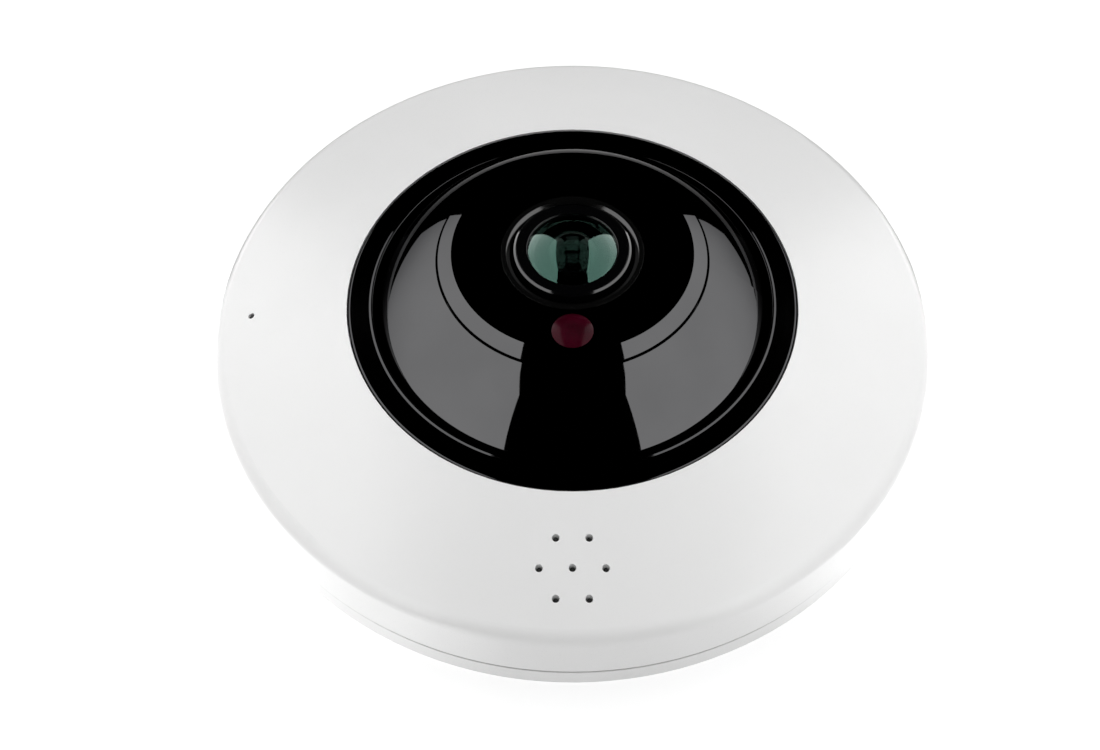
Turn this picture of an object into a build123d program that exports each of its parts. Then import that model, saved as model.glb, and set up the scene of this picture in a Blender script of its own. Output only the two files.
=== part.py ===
from build123d import *
from math import asin, cos, hypot, radians, sin, sqrt
import os

# Fisheye network camera, lying on its mounting plate with the lens up.
# Millimetres. The origin is the centre of the plate's underside, +Z is the lens axis,
# -Y is the speaker side and +Y is the side with the power inlet.
# The camera is sized from the inside out: heights are stacked up from the plate, through
# the boards and the lens to the deck, and radii grow from the filter changer through the
# chassis and the dome to the shell, and back in from there to the plate.

os.makedirs("parts", exist_ok=True)

# Clearances
slip_fit = 0.2
running_gap = 0.05
screw_gap = 0.15
glue_gap = 0.1
seat_gap = 0.25

# Mounting plate, held by three tabs that turn in behind three lugs
plate_thickness = 2.2
rim_height = 4.4
rim_wall = 1.6
tab_reach = 2.6
tab_thickness = 1.4
tab_sweep = 24.0
tab_count = 3
first_tab = 90.0
tab_side_gap = 0.6
tab_lift = 0.2
lug_side_gap = 0.4
lug_thickness = 1.6
stop_gap_angle = 0.5
stop_sweep = 2.5
plate_screw_inset = 11.0
plate_screw_radius = 2.2
plate_screw_count = 3
first_plate_screw = 30.0
plate_boss_radius = 5.0
plate_boss_height = 0.8
plate_rib_width = 1.6
plate_rib_height = 1.2
plate_hub_radius = 14.0

# Rear housing: a tray whose middle steps up over the mounting plate
base_lift = 0.4
skirt_inset = 0.6
housing_wall = 2.0
tray_width = 11.6
lip_wall = 1.8
lip_gap = 0.6
floor_gap = 0.6
standoff_height = 1.6
standoff_radius = 3.2

# White shell: a crowned top, a rounded shoulder and a short side wall
crown_width = 26.4
crown_radius = 165.0
shell_wall = 2.2
shoulder_round = 3.5
seam_height = 5.5
seam_gap_height = 1.1
seam_gap_depth = 1.0
edge_break = 0.3

# Bezel ring, seal and flange of the dome, stacked in the shell's counterbore
bezel_width = 4.96
bezel_depth = 3.75
bezel_rise = 0.75
bezel_break = 0.4
bezel_gap = 0.25
ledge_thickness = 1.8
ledge_width = 2.6
gasket_thickness = 0.6
gasket_width = 2.1
flange_thickness = 1.6

# Dome cover and the flat deck that closes its top
dome_wall = 2.2
dome_drop = 16.4
deck_lift = 19.6
deck_thickness = 1.8
deck_shoulder = 3.0
deck_seat_depth = 1.1
deck_seat_width = 1.5
deck_seam_gap = 0.45
deck_hole_gap = 1.0
deck_hole_round = 0.6
window_radius = 3.9
window_margin = 0.66
window_crown = 0.8
window_flange_width = 0.5
window_flange_thickness = 0.9

# Lens: a wide head on an M12 thread, with its glasses, spacers and retaining ring
lens_rise = 1.2
head_radius = 11.9
head_wall = 1.2
head_length = 6.8
head_break = 0.5
thread_radius = 6.0
thread_wall = 1.1
thread_length = 9.0
rear_stop_reach = 1.3
rear_stop_thickness = 1.0
front_glass_radius = 12.3
front_glass_rise = 3.1
front_glass_seat = 3.8
front_hollow_radius = 6.2
front_hollow_rise = 1.6
retainer_thickness = 1.2
retainer_drop = 0.2
front_spacer_length = 0.7
second_glass_radius = 7.9
second_glass_edge = 1.3
second_glass_crown = 1.6
second_glass_flat = 2.7
rear_glass_edge = 2.2
rear_glass_crown = 0.8
rear_spacer_length = 2.6
spacer_width = 0.8

# Lens holder and the ring that locks the focus
holder_wall = 2.0
holder_base = 1.8
focus_gap = 0.6
lock_ring_width = 2.75
lock_ring_thickness = 1.4
lock_notch_width = 1.6
lock_notch_depth = 0.8
lock_notch_count = 6

# Rubber ring that keeps lamp light out of the lens
baffle_gap = 0.3
baffle_width = 1.6
baffle_neck_rise = 0.8

# Filter changer: a carriage with two glasses, pushed by an arm on a swinging magnet
changer_height = 5.8
changer_half_width = 11.5
changer_half_depth = 8.6
changer_wall = 1.0
changer_floor = 1.8
nose_half_width = 7.2
nose_gap = 0.3
sensor_pocket_gap = 0.3
filter_spacing = 6.4
filter_width = 6.0
filter_depth = 6.4
filter_thickness = 0.45
filter_lip = 0.5
carriage_thickness = 1.2
carriage_margin = 0.8
carriage_half_depth = 4.2
carriage_lift = 0.15
rail_width = 1.0
fork_reach = 4.4
fork_slot_length = 2.9
fork_half_width = 2.2
pin_radius = 0.6
pin_gap = 0.12
pin_setback = 1.5
swing_angle = 44.0
magnet_radius = 2.6
magnet_height = 3.1
pivot_radius = 0.7
arm_width = 1.6
arm_thickness = 0.8
arm_lift = 0.25
yoke_gap = 0.5
yoke_width = 1.6
yoke_thickness = 1.8
yoke_lift = 1.1
yoke_reach = 1.8
yoke_post_depth = 3.0
coil_thickness = 0.9
coil_length = 4.8
coil_gap = 0.28

# Image sensor and its board
sensor_size = 8.0
sensor_thickness = 1.2
sensor_board_thickness = 1.2
sensor_board_margin = 0.45
sensor_screw_inset = 2.4
sensor_screw_angles = (45.0, 135.0, 225.0, 315.0)

# Lamp board under the deck
lamp_board_drop = 7.4
lamp_board_thickness = 1.2
lamp_board_margin = 1.51
lamp_board_hole_gap = 1.0
lamp_inset = 6.6
lamp_count = 6
lamp_size = 3.5
lamp_base_height = 0.8
lamp_lens_radius = 1.4
lamp_lens_tip = 0.9
lamp_lens_height = 1.2
light_sensor_size = 3.0
light_sensor_height = 1.2

# Inner chassis: a windowed tube on three feet that carries both boards
chassis_overhang = 0.4
chassis_wall = 1.6
chassis_window_count = 8
chassis_window_width = 9.0
chassis_rail = 3.6
lug_width = 8.0
lug_height = 4.0
lug_depth = 4.8
lamp_lug_depth = 3.1
lamp_lug_angles = (0.0, 120.0, 240.0)
foot_reach = 7.2
foot_thickness = 2.0
foot_width = 8.0
foot_angles = (90.0, 210.0, 330.0)

# Main board and what is soldered to it
board_setback = 4.2
board_thickness = 1.6
board_edge_gap = 1.2
board_spacing = 9.8
board_screw_inset = 4.0
tab_middle_angle = 95.0
tab_sweep_angle = 58.0
processor_size = 14.0
processor_height = 1.4
thermal_pad_height = 0.8
heat_sink_size = 20.0
heat_sink_base = 1.4
heat_sink_gap = 2.8
fin_count = 6
fin_thickness = 1.0
memory_width = 8.0
memory_depth = 11.0
memory_height = 1.1
memory_spacing = 15.0
memory_gap = 2.7
radio_width = 12.0
radio_depth = 16.0
radio_height = 2.2
radio_gap = 3.74
inductor_size = 6.0
inductor_height = 3.0
inductor_spacing = 8.0
inductor_gap = 6.74
capacitor_radius = 3.1
capacitor_height = 6.0
capacitor_gap = 5.64
capacitor_angle = 240.0
antenna_margin = 2.3
antenna_sweep = 36.0
antenna_thickness = 0.3
coax_radius = 0.6
coax_height = 1.2
coax_bend = 3.0

# Connectors and flat leads
connector_depth = 3.0
connector_width = 5.0
connector_height = 2.2
microphone_connector_gap = 1.2
speaker_lead_run = 3.06
lead_width = 2.4
lead_thickness = 0.8
lead_bend = 1.6
magnet_lead_gap = 0.7
lamp_lead_angle = 22.0
lamp_lead_width = 4.0
lamp_lead_gap = 1.2
lamp_connector_gap = 3.0
ribbon_angle = 180.0
ribbon_width = 10.0
ribbon_thickness = 0.25
ribbon_bend = 1.8
ribbon_loop = 4.3
ribbon_connector_gap = 2.3
ribbon_connector_depth = 4.0
ribbon_connector_width = 12.0
ribbon_connector_height = 1.6

# Sockets and the reset button, in the side wall at the back
inlet_angle = 90.0
inlet_width = 7.5
inlet_height = 2.6
inlet_depth = 5.6
inlet_setback = 0.6
inlet_shell = 0.35
inlet_mouth_depth = 4.6
inlet_tongue_width = 5.4
port_gap = 0.3
card_socket_width = 14.0
card_socket_depth = 14.5
card_socket_height = 1.9
card_socket_gap = 0.9
card_slot_width = 12.0
card_slot_height = 1.3
card_slot_depth = 12.5
card_angle = 110.0
thumb_notch_depth = 0.9
thumb_notch_height = 5.0
thumb_notch_radius = 9.0
reset_angle = 72.0
reset_radius = 1.2
reset_flange_radius = 2.1
reset_flange_thickness = 0.8
reset_recess = 0.4
reset_travel = 0.3
reset_rest_gap = 0.02
reset_rise = 2.0
switch_width = 4.2
switch_depth = 3.4
switch_height = 3.0
plunger_length = 0.6
plunger_radius = 0.8

# Speaker behind seven holes and a microphone behind one
speaker_angle = 270.0
speaker_shift = 0.6
speaker_side_room = 1.8
speaker_hole_radius = 0.7
speaker_hole_margin = 0.15
speaker_depth = 3.4
speaker_wall = 0.8
speaker_gasket_thickness = 0.6
speaker_gasket_width = 1.0
speaker_magnet_inset = 3.6
speaker_magnet_depth = 1.4
cone_thickness = 0.3
cone_drop = 1.6
cone_inner_radius = 2.6
cone_cap_rise = 0.6
collar_wall = 1.0
speaker_collar_depth = 3.2
microphone_inset = 7.3
microphone_angle = 178.5
microphone_hole_radius = 0.65
capsule_radius = 3.0
capsule_depth = 2.0
boot_wall = 0.8
boot_face = 0.7
microphone_collar_depth = 2.6

# Screws
case_screw_radius = 1.25
case_screw_head_radius = 2.5
case_screw_head_height = 1.8
case_screw_length = 9.0
case_screw_sink = 3.0
case_screw_count = 4
first_case_screw = 45.0
boss_radius = 3.2
tower_radius = 4.3
board_screw_radius = 1.0
board_screw_head_radius = 1.9
board_screw_head_height = 1.3
board_screw_grip = 2.6
screw_tip_gap = 0.3

# Heights from the plate up: housing, main board, sensor board, filter changer, lens and deck
tab_base = rim_height - tab_thickness
lug_top = tab_base - tab_lift
floor_underside = rim_height + floor_gap
floor_top = floor_underside + housing_wall
board_base = floor_top + standoff_height
board_top = board_base + board_thickness
lip_top = board_base - lip_gap
tray_floor = base_lift + housing_wall
case_screw_seat = base_lift + case_screw_sink
case_screw_tip = case_screw_seat + case_screw_length
sensor_board_base = board_top + board_spacing
changer_base = sensor_board_base + sensor_board_thickness
changer_top = changer_base + changer_height
thread_base = changer_top + focus_gap
head_base = thread_base + thread_length
holder_top = head_base - focus_gap - lock_ring_thickness
lens_rim = head_base + head_length
deck_height = lens_rim - lens_rise
deck_underside = deck_height - deck_thickness
lamp_board_top = deck_underside - lamp_board_drop
lamp_board_base = lamp_board_top - lamp_board_thickness

# Heights of the dome's foot and the shell's edge, down from the deck
ledge_height = deck_height - deck_lift
flange_base = ledge_height + gasket_thickness
flange_top = flange_base + flange_thickness
dome_centre = ledge_height - dome_drop
crown_edge_height = ledge_height + bezel_depth

# Places inside the filter changer. The arm's pin moves the carriage by the spacing of its glasses
changer_floor_top = changer_base + changer_floor
carriage_base = changer_floor_top + carriage_lift
carriage_top = carriage_base + carriage_thickness
arm_base = carriage_top + arm_lift
arm_length = filter_spacing / 2 / sin(radians(swing_angle / 2))
pin_rest = carriage_half_depth + fork_reach - pin_setback
pivot_offset = pin_rest + arm_length * cos(radians(swing_angle / 2))
core_offset = pivot_offset + magnet_radius + coil_gap + coil_thickness + glue_gap + yoke_width / 2
nose_inside = core_offset + yoke_width / 2 + glue_gap + coil_thickness + nose_gap
nose_front = nose_inside + changer_wall
yoke_base = changer_floor_top + yoke_lift
yoke_side = magnet_radius + yoke_gap + yoke_width / 2

# Radii from the filter changer out: sensor board, chassis, lamp board, dome, bezel and shell
sensor_board_radius = hypot(nose_half_width, nose_front) + sensor_board_margin
chassis_bore = sensor_board_radius + slip_fit + lamp_lug_depth
chassis_radius = chassis_bore + chassis_wall
lamp_board_radius = chassis_radius - chassis_overhang
dome_radius = hypot(lamp_board_radius + lamp_board_margin, lamp_board_top - dome_centre) + dome_wall
bezel_radius = sqrt(dome_radius**2 - (flange_top - dome_centre) ** 2) + bezel_width
bezel_bore = bezel_radius + slip_fit
shell_radius = bezel_bore + crown_width
crown_centre = crown_edge_height - sqrt(crown_radius**2 - bezel_bore**2)
sensor_screw_circle = sensor_board_radius - sensor_screw_inset
lamp_screw_circle = chassis_bore - lamp_lug_depth / 2
foot_circle = chassis_radius + foot_reach / 2

# Radii from the shell in: housing, mounting plate and main board
inner_radius = shell_radius - shell_wall
skirt_radius = shell_radius - skirt_inset
lip_radius = inner_radius - slip_fit
lip_inner_radius = lip_radius - lip_wall
step_radius = lip_inner_radius - tray_width
recess_radius = step_radius - housing_wall
plate_radius = recess_radius - tab_side_gap - tab_reach
plate_screw_circle = plate_radius - plate_screw_inset
tower_circle = (step_radius + lip_inner_radius) / 2
board_radius = step_radius - board_setback
board_tab_radius = inner_radius - board_edge_gap
board_screw_circle = board_radius - board_screw_inset

# Radii of the fitted pieces
flange_radius = bezel_radius - glue_gap
plateau_reach = sqrt(dome_radius**2 - (deck_height - dome_centre) ** 2)
deck_radius = plateau_reach + deck_shoulder
window_offset = plateau_reach - window_radius - window_margin
deck_hole_radius = head_radius + deck_hole_gap
head_bore = head_radius - head_wall
front_glass_edge = head_bore - glue_gap
thread_bore = thread_radius - thread_wall
holder_bore = thread_radius + running_gap
lock_ring_radius = holder_bore + lock_ring_width
lamp_board_hole = head_radius + lamp_board_hole_gap
lamp_circle = lamp_board_hole + lamp_inset
boot_radius = capsule_radius + boot_wall
microphone_circle = shell_radius - microphone_inset
speaker_circle = bezel_bore + crown_width / 2 + speaker_shift
speaker_radius = crown_width / 2 - shell_wall - collar_wall - slip_fit - speaker_side_room
speaker_magnet_radius = speaker_radius - speaker_magnet_inset
speaker_hole_circle = speaker_radius - speaker_gasket_width - speaker_hole_radius - speaker_hole_margin


def crown_height(radius, depth=0.0):
    """Height of the crowned top at this distance from the axis, or of a surface below it."""
    return crown_centre + sqrt((crown_radius - depth) ** 2 - radius**2)


def sphere_height(radius, reach):
    """Height of a sphere about the dome's centre, at this distance from the axis."""
    return dome_centre + sqrt(radius**2 - reach**2)


def sphere_reach(radius, height):
    """Distance from the axis of a sphere about the dome's centre, at this height."""
    return sqrt(radius**2 - (height - dome_centre) ** 2)


def outward(angle):
    """The level direction away from the axis at this angle."""
    return Vector(cos(radians(angle)), sin(radians(angle)), 0)


def crown_plane(circle, angle, depth):
    """A plane square to the crown, this far below it, at a place given by radius and angle."""
    lean = asin(circle / crown_radius)
    normal = outward(angle) * sin(lean) + Vector(0, 0, cos(lean))
    on_crown = outward(angle) * circle + Vector(0, 0, crown_height(circle))
    return Plane(origin=on_crown - normal * depth, x_dir=normal.cross(outward(angle)), z_dir=normal)


def wall_plane(angle, reach, height):
    """An upright plane that faces outwards through the side wall, with its x axis level."""
    level = Vector(-sin(radians(angle)), cos(radians(angle)), 0)
    return Plane(origin=outward(angle) * reach + Vector(0, 0, height), x_dir=level, z_dir=outward(angle))


def upright_plane(angle):
    """The plane through the axis at this angle: x is the distance from the axis, y the height."""
    return Plane(origin=(0, 0, 0), x_dir=outward(angle), z_dir=outward(angle).cross(Vector(0, 0, 1)))


def turned(*outline, on=Plane.XY):
    """A solid of revolution about a plane's normal, from its half outline of radius and height."""
    with BuildPart() as body:
        with BuildSketch(Plane(origin=on.origin, x_dir=on.x_dir, z_dir=-on.y_dir)):
            with BuildLine():
                Polyline(*outline, close=True)
            make_face()
        revolve(axis=Axis(on.origin, on.z_dir))
    return body.part


def ring_sector(inner, outer, middle_angle, sweep):
    """The face between two arcs about the origin, centred on an angle."""
    start = middle_angle - sweep / 2
    with BuildSketch() as sector:
        with BuildLine():
            far = CenterArc((0, 0), outer, start, sweep)
            near = CenterArc((0, 0), inner, start, sweep)
            Line(near @ 0, far @ 0)
            Line(near @ 1, far @ 1)
        make_face()
    return sector.sketch


def screw(head_radius, head_height, shank_radius, shank_length, on=Plane.XY):
    """A pan head screw seated on a plane, with its shank behind the plane."""
    return turned(
        (0, -shank_length),
        (shank_radius, -shank_length),
        (shank_radius, 0),
        (head_radius, 0),
        (head_radius, head_height),
        (0, head_height),
        on=on,
    )


def board_screw(angle, circle, seat, grip):
    """One of the small screws of the boards and the chassis, point down."""
    place = Plane(outward(angle) * circle + Vector(0, 0, seat))
    length = grip + board_screw_grip
    return screw(board_screw_head_radius, board_screw_head_height, board_screw_radius, length, on=place)


def flat_lead(plane, width, thickness, bend, *route):
    """A flat cable: a thin strip along a route drawn on a plane, as wide as the cable across it."""
    with BuildPart() as lead:
        with BuildSketch(plane):
            with BuildLine():
                FilletPolyline(*route, radius=bend)
                offset(amount=thickness, side=Side.LEFT)
            make_face()
        extrude(amount=width / 2, both=True)
    return lead.part


def box_on(plane, width, depth, height):
    """A box standing on a plane, centred on its origin."""
    with BuildPart(plane) as block:
        Box(width, depth, height, align=(Align.CENTER, Align.CENTER, Align.MIN))
    return block.part


# Places of the ports in the side wall
inlet_middle = board_top + inlet_height / 2
inlet_front = shell_radius - inlet_setback
card_slot_middle = board_top + card_socket_height / 2
card_front = inner_radius - card_socket_gap
reset_middle = board_top + reset_rise
reset_front = shell_radius - reset_recess
reset_flange_front = inner_radius - slip_fit
switch_front = reset_flange_front - reset_flange_thickness - reset_travel - reset_rest_gap - plunger_length

# Hollow of the shell, with the screw bosses and the two sound collars left standing in it
with BuildPart() as shell_hollow:
    with BuildSketch(Plane.XZ):
        with BuildLine():
            bore_edge = bezel_bore + shell_wall
            bore_middle = (bore_edge + inner_radius) / 2
            ceiling = ThreePointArc(
                (bore_edge, crown_height(bore_edge, shell_wall)),
                (bore_middle, crown_height(bore_middle, shell_wall)),
                (inner_radius, crown_height(inner_radius, shell_wall)),
            )
            Polyline(
                ceiling @ 1,
                (inner_radius, 0),
                (0, 0),
                (0, ledge_height - ledge_thickness),
                (bore_edge, ledge_height - ledge_thickness),
                ceiling @ 0,
            )
        make_face()
    revolve(axis=Axis.Z)
    with BuildSketch(Plane.XY.offset(floor_top)):
        with PolarLocations(tower_circle, case_screw_count, start_angle=first_case_screw):
            Circle(boss_radius)
    extrude(amount=crown_edge_height, mode=Mode.SUBTRACT)
    with BuildSketch(crown_plane(speaker_circle, speaker_angle, shell_wall + speaker_collar_depth)):
        Circle(speaker_radius + slip_fit + collar_wall)
        Circle(speaker_radius + slip_fit, mode=Mode.SUBTRACT)
    extrude(amount=crown_edge_height, mode=Mode.SUBTRACT)
    collar_depth = shell_wall + microphone_collar_depth
    with BuildSketch(crown_plane(microphone_circle, microphone_angle, collar_depth)):
        Circle(boot_radius + glue_gap + collar_wall)
        Circle(boot_radius + glue_gap, mode=Mode.SUBTRACT)
    extrude(amount=crown_edge_height, mode=Mode.SUBTRACT)

# Top shell: the white moulding, with the dome's counterbore, the sound holes and the port cut-outs
with BuildPart() as top_shell:
    with BuildSketch(Plane.XZ):
        with BuildLine():
            crown_middle = (bezel_bore + shell_radius) / 2
            crown = ThreePointArc(
                (bezel_bore, crown_edge_height),
                (crown_middle, crown_height(crown_middle)),
                (shell_radius, crown_height(shell_radius)),
            )
            Polyline(
                crown @ 1,
                (shell_radius, seam_height + edge_break),
                (shell_radius - edge_break, seam_height),
                (0, seam_height),
                (0, crown_edge_height),
                crown @ 0,
            )
        outline = make_face()
        fillet(outline.vertices().sort_by_distance(crown @ 1)[0], shoulder_round)
    revolve(axis=Axis.Z)
    add(shell_hollow.part, mode=Mode.SUBTRACT)
    with BuildSketch(Plane.XY.offset(ledge_height)):
        Circle(bezel_bore)
    extrude(amount=crown_edge_height, mode=Mode.SUBTRACT)
    with BuildSketch(Plane.XY):
        Circle(bezel_bore - ledge_width)
    extrude(amount=crown_edge_height, mode=Mode.SUBTRACT)
    sound_place = outward(speaker_angle) * speaker_circle
    sound_depth = crown_height(speaker_circle) - 3 * shell_wall
    with BuildSketch(Plane(sound_place + Vector(0, 0, sound_depth))):
        Circle(speaker_hole_radius)
        with PolarLocations(speaker_hole_circle, 6):
            Circle(speaker_hole_radius)
    extrude(amount=crown_edge_height, mode=Mode.SUBTRACT)
    with BuildSketch(crown_plane(microphone_circle, microphone_angle, 2 * shell_wall)):
        Circle(microphone_hole_radius)
    extrude(amount=4 * shell_wall, mode=Mode.SUBTRACT)
    with BuildSketch(Plane.XY.offset(floor_top)):
        with PolarLocations(tower_circle, case_screw_count, start_angle=first_case_screw):
            Circle(case_screw_radius + glue_gap)
    extrude(amount=case_screw_tip + screw_tip_gap - floor_top, mode=Mode.SUBTRACT)
    with BuildSketch(wall_plane(inlet_angle, inner_radius - shell_wall, inlet_middle)):
        RectangleRounded(inlet_width + 2 * port_gap, inlet_height + 2 * port_gap, port_gap)
    extrude(amount=3 * shell_wall, mode=Mode.SUBTRACT)
    with BuildSketch(wall_plane(card_angle, inner_radius - shell_wall, card_slot_middle)):
        Rectangle(card_slot_width, card_slot_height)
    extrude(amount=3 * shell_wall, mode=Mode.SUBTRACT)
    notch_centre = outward(card_angle) * (shell_radius + thumb_notch_radius - thumb_notch_depth)
    with BuildSketch(Plane(notch_centre + Vector(0, 0, card_slot_middle - thumb_notch_height / 2))):
        Circle(thumb_notch_radius)
    extrude(amount=thumb_notch_height, mode=Mode.SUBTRACT)
    with BuildSketch(wall_plane(reset_angle, inner_radius - shell_wall, reset_middle)):
        Circle(reset_radius + glue_gap)
    extrude(amount=3 * shell_wall, mode=Mode.SUBTRACT)
top_shell.part.label = "top_shell"
export_step(top_shell.part, "parts/top_shell.step")

# Rear housing: white tray with a shadow gap at the seam, a locating lip, screw towers and bayonet lugs
with BuildPart() as rear_housing:
    add(
        turned(
            (0, floor_underside),
            (recess_radius, floor_underside),
            (recess_radius, base_lift),
            (skirt_radius - edge_break, base_lift),
            (skirt_radius, base_lift + edge_break),
            (skirt_radius, seam_height - seam_gap_height),
            (skirt_radius - seam_gap_depth, seam_height - seam_gap_height),
            (skirt_radius - seam_gap_depth, seam_height),
            (lip_radius, seam_height),
            (lip_radius, lip_top),
            (lip_inner_radius, lip_top),
            (lip_inner_radius, tray_floor),
            (step_radius, tray_floor),
            (step_radius, floor_top),
            (0, floor_top),
        )
    )
    with BuildSketch(Plane.XY.offset(tray_floor)):
        with PolarLocations(tower_circle, case_screw_count, start_angle=first_case_screw):
            Circle(tower_radius)
    extrude(amount=floor_top - tray_floor)
    with BuildSketch(Plane.XY.offset(floor_top)):
        with PolarLocations(board_screw_circle, case_screw_count, start_angle=first_case_screw):
            Circle(standoff_radius)
        with PolarLocations(foot_circle, len(foot_angles), start_angle=foot_angles[0]):
            Circle(standoff_radius)
    extrude(amount=standoff_height)
    with BuildSketch(Plane.XY.offset(board_base)):
        with PolarLocations(board_screw_circle, case_screw_count, start_angle=first_case_screw):
            Circle(board_screw_radius + glue_gap)
        with PolarLocations(foot_circle, len(foot_angles), start_angle=foot_angles[0]):
            Circle(board_screw_radius + glue_gap)
    extrude(amount=-(board_screw_grip + screw_tip_gap), mode=Mode.SUBTRACT)
    with BuildSketch(Plane.XY.offset(base_lift)):
        with PolarLocations(tower_circle, case_screw_count, start_angle=first_case_screw):
            Circle(case_screw_head_radius + slip_fit)
    extrude(amount=case_screw_sink, mode=Mode.SUBTRACT)
    with BuildSketch(Plane.XY.offset(base_lift)):
        with PolarLocations(tower_circle, case_screw_count, start_angle=first_case_screw):
            Circle(case_screw_radius + screw_gap)
    extrude(amount=floor_top, mode=Mode.SUBTRACT)
    with BuildSketch(Plane.XY.offset(lug_top)):
        for tab in range(tab_count):
            lug_angle = first_tab + tab * 360 / tab_count
            add(ring_sector(plate_radius + lug_side_gap, step_radius, lug_angle, tab_sweep))
    extrude(amount=-lug_thickness)
    with BuildSketch(Plane.XY.offset(lug_top - lug_thickness)):
        for tab in range(tab_count):
            stop_angle = first_tab + tab * 360 / tab_count - tab_sweep / 2 - stop_gap_angle - stop_sweep / 2
            add(ring_sector(plate_radius + lug_side_gap, step_radius, stop_angle, stop_sweep))
    extrude(amount=floor_top - lug_top + lug_thickness)
rear_housing.part.label = "rear_housing"
export_step(rear_housing.part, "parts/rear_housing.step")

# Mounting plate: round bracket screwed to the ceiling, with three bayonet tabs on its rim
with BuildPart() as mounting_plate:
    add(
        turned(
            (0, 0),
            (plate_radius - edge_break, 0),
            (plate_radius, edge_break),
            (plate_radius, rim_height),
            (plate_radius - rim_wall, rim_height),
            (plate_radius - rim_wall, plate_thickness),
            (0, plate_thickness),
        )
    )
    with BuildSketch(Plane.XY.offset(tab_base)):
        for tab in range(tab_count):
            tab_angle = first_tab + tab * 360 / tab_count
            add(ring_sector(plate_radius - rim_wall / 2, plate_radius + tab_reach, tab_angle, tab_sweep))
    extrude(amount=tab_thickness)
    with BuildSketch(Plane.XY.offset(plate_thickness)):
        with PolarLocations(plate_screw_circle, plate_screw_count, start_angle=first_plate_screw):
            Circle(plate_boss_radius)
    extrude(amount=plate_boss_height)
    with BuildSketch(Plane.XY.offset(plate_thickness)):
        Circle(plate_hub_radius)
        Circle(plate_hub_radius - plate_rib_width, mode=Mode.SUBTRACT)
        rib_length = plate_radius - rim_wall / 2 - plate_hub_radius + plate_rib_width / 2
        with PolarLocations(plate_hub_radius - plate_rib_width / 2 + rib_length / 2, tab_count, first_tab):
            Rectangle(rib_length, plate_rib_width)
    extrude(amount=plate_rib_height)
    with BuildSketch(Plane.XY):
        with PolarLocations(plate_screw_circle, plate_screw_count, start_angle=first_plate_screw):
            Circle(plate_screw_radius)
    extrude(amount=rim_height, mode=Mode.SUBTRACT)
mounting_plate.part.label = "mounting_plate"
export_step(mounting_plate.part, "parts/mounting_plate.step")

# Case screws: driven up through the housing's towers into the shell's bosses
with BuildPart() as case_screws:
    for number in range(case_screw_count):
        screw_angle = first_case_screw + number * 360 / case_screw_count
        add(
            screw(
                case_screw_head_radius,
                case_screw_head_height,
                case_screw_radius,
                case_screw_length,
                on=Plane(
                    origin=outward(screw_angle) * tower_circle + Vector(0, 0, case_screw_seat),
                    z_dir=(0, 0, -1),
                ),
            )
        )
case_screws.part.label = "case_screws"
export_step(case_screws.part, "parts/case_screws.step")

# Bezel ring: black satin ring that clamps the dome's flange in the counterbore
bezel_top = crown_edge_height - running_gap
bezel_opening = sphere_reach(dome_radius, flange_top) + bezel_gap
with BuildPart() as bezel_ring:
    add(
        turned(
            (bezel_opening, flange_top),
            (bezel_radius, flange_top),
            (bezel_radius, bezel_top - bezel_break),
            (bezel_radius - bezel_break, bezel_top),
            (bezel_opening + bezel_break, bezel_top + bezel_rise),
            (bezel_opening, bezel_top + bezel_rise - bezel_break),
        )
    )
bezel_ring.part.label = "bezel_ring"
export_step(bezel_ring.part, "parts/bezel_ring.step")

# Dome gasket: flat rubber ring between the shell's ledge and the dome's flange
with BuildPart() as dome_gasket:
    with BuildSketch(Plane.XY.offset(ledge_height)):
        Circle(flange_radius)
        Circle(flange_radius - gasket_width, mode=Mode.SUBTRACT)
    extrude(amount=gasket_thickness)
dome_gasket.part.label = "dome_gasket"
export_step(dome_gasket.part, "parts/dome_gasket.step")

# Dome cover: glossy black zone of a sphere, with a flange below and a rabbet for the deck
dome_inside = dome_radius - dome_wall
deck_seat = sphere_height(dome_radius, deck_radius) - deck_seat_depth
dome_lip = deck_radius - deck_seat_width
dome_middle_height = (flange_top + deck_seat) / 2
with BuildPart() as dome_cover:
    with BuildSketch(Plane.XZ):
        with BuildLine():
            dome_arc = ThreePointArc(
                (sphere_reach(dome_radius, flange_top), flange_top),
                (sphere_reach(dome_radius, dome_middle_height), dome_middle_height),
                (deck_radius, sphere_height(dome_radius, deck_radius)),
            )
            Polyline(
                dome_arc @ 1,
                (deck_radius, deck_seat),
                (dome_lip, deck_seat),
                (dome_lip, sphere_height(dome_inside, dome_lip)),
                (sphere_reach(dome_inside, dome_middle_height), dome_middle_height),
                (sphere_reach(dome_inside, flange_base), flange_base),
                (flange_radius, flange_base),
                (flange_radius, flange_top),
                dome_arc @ 0,
            )
        make_face()
    revolve(axis=Axis.Z)
dome_cover.part.label = "dome_cover"
export_step(dome_cover.part, "parts/dome_cover.step")

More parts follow.
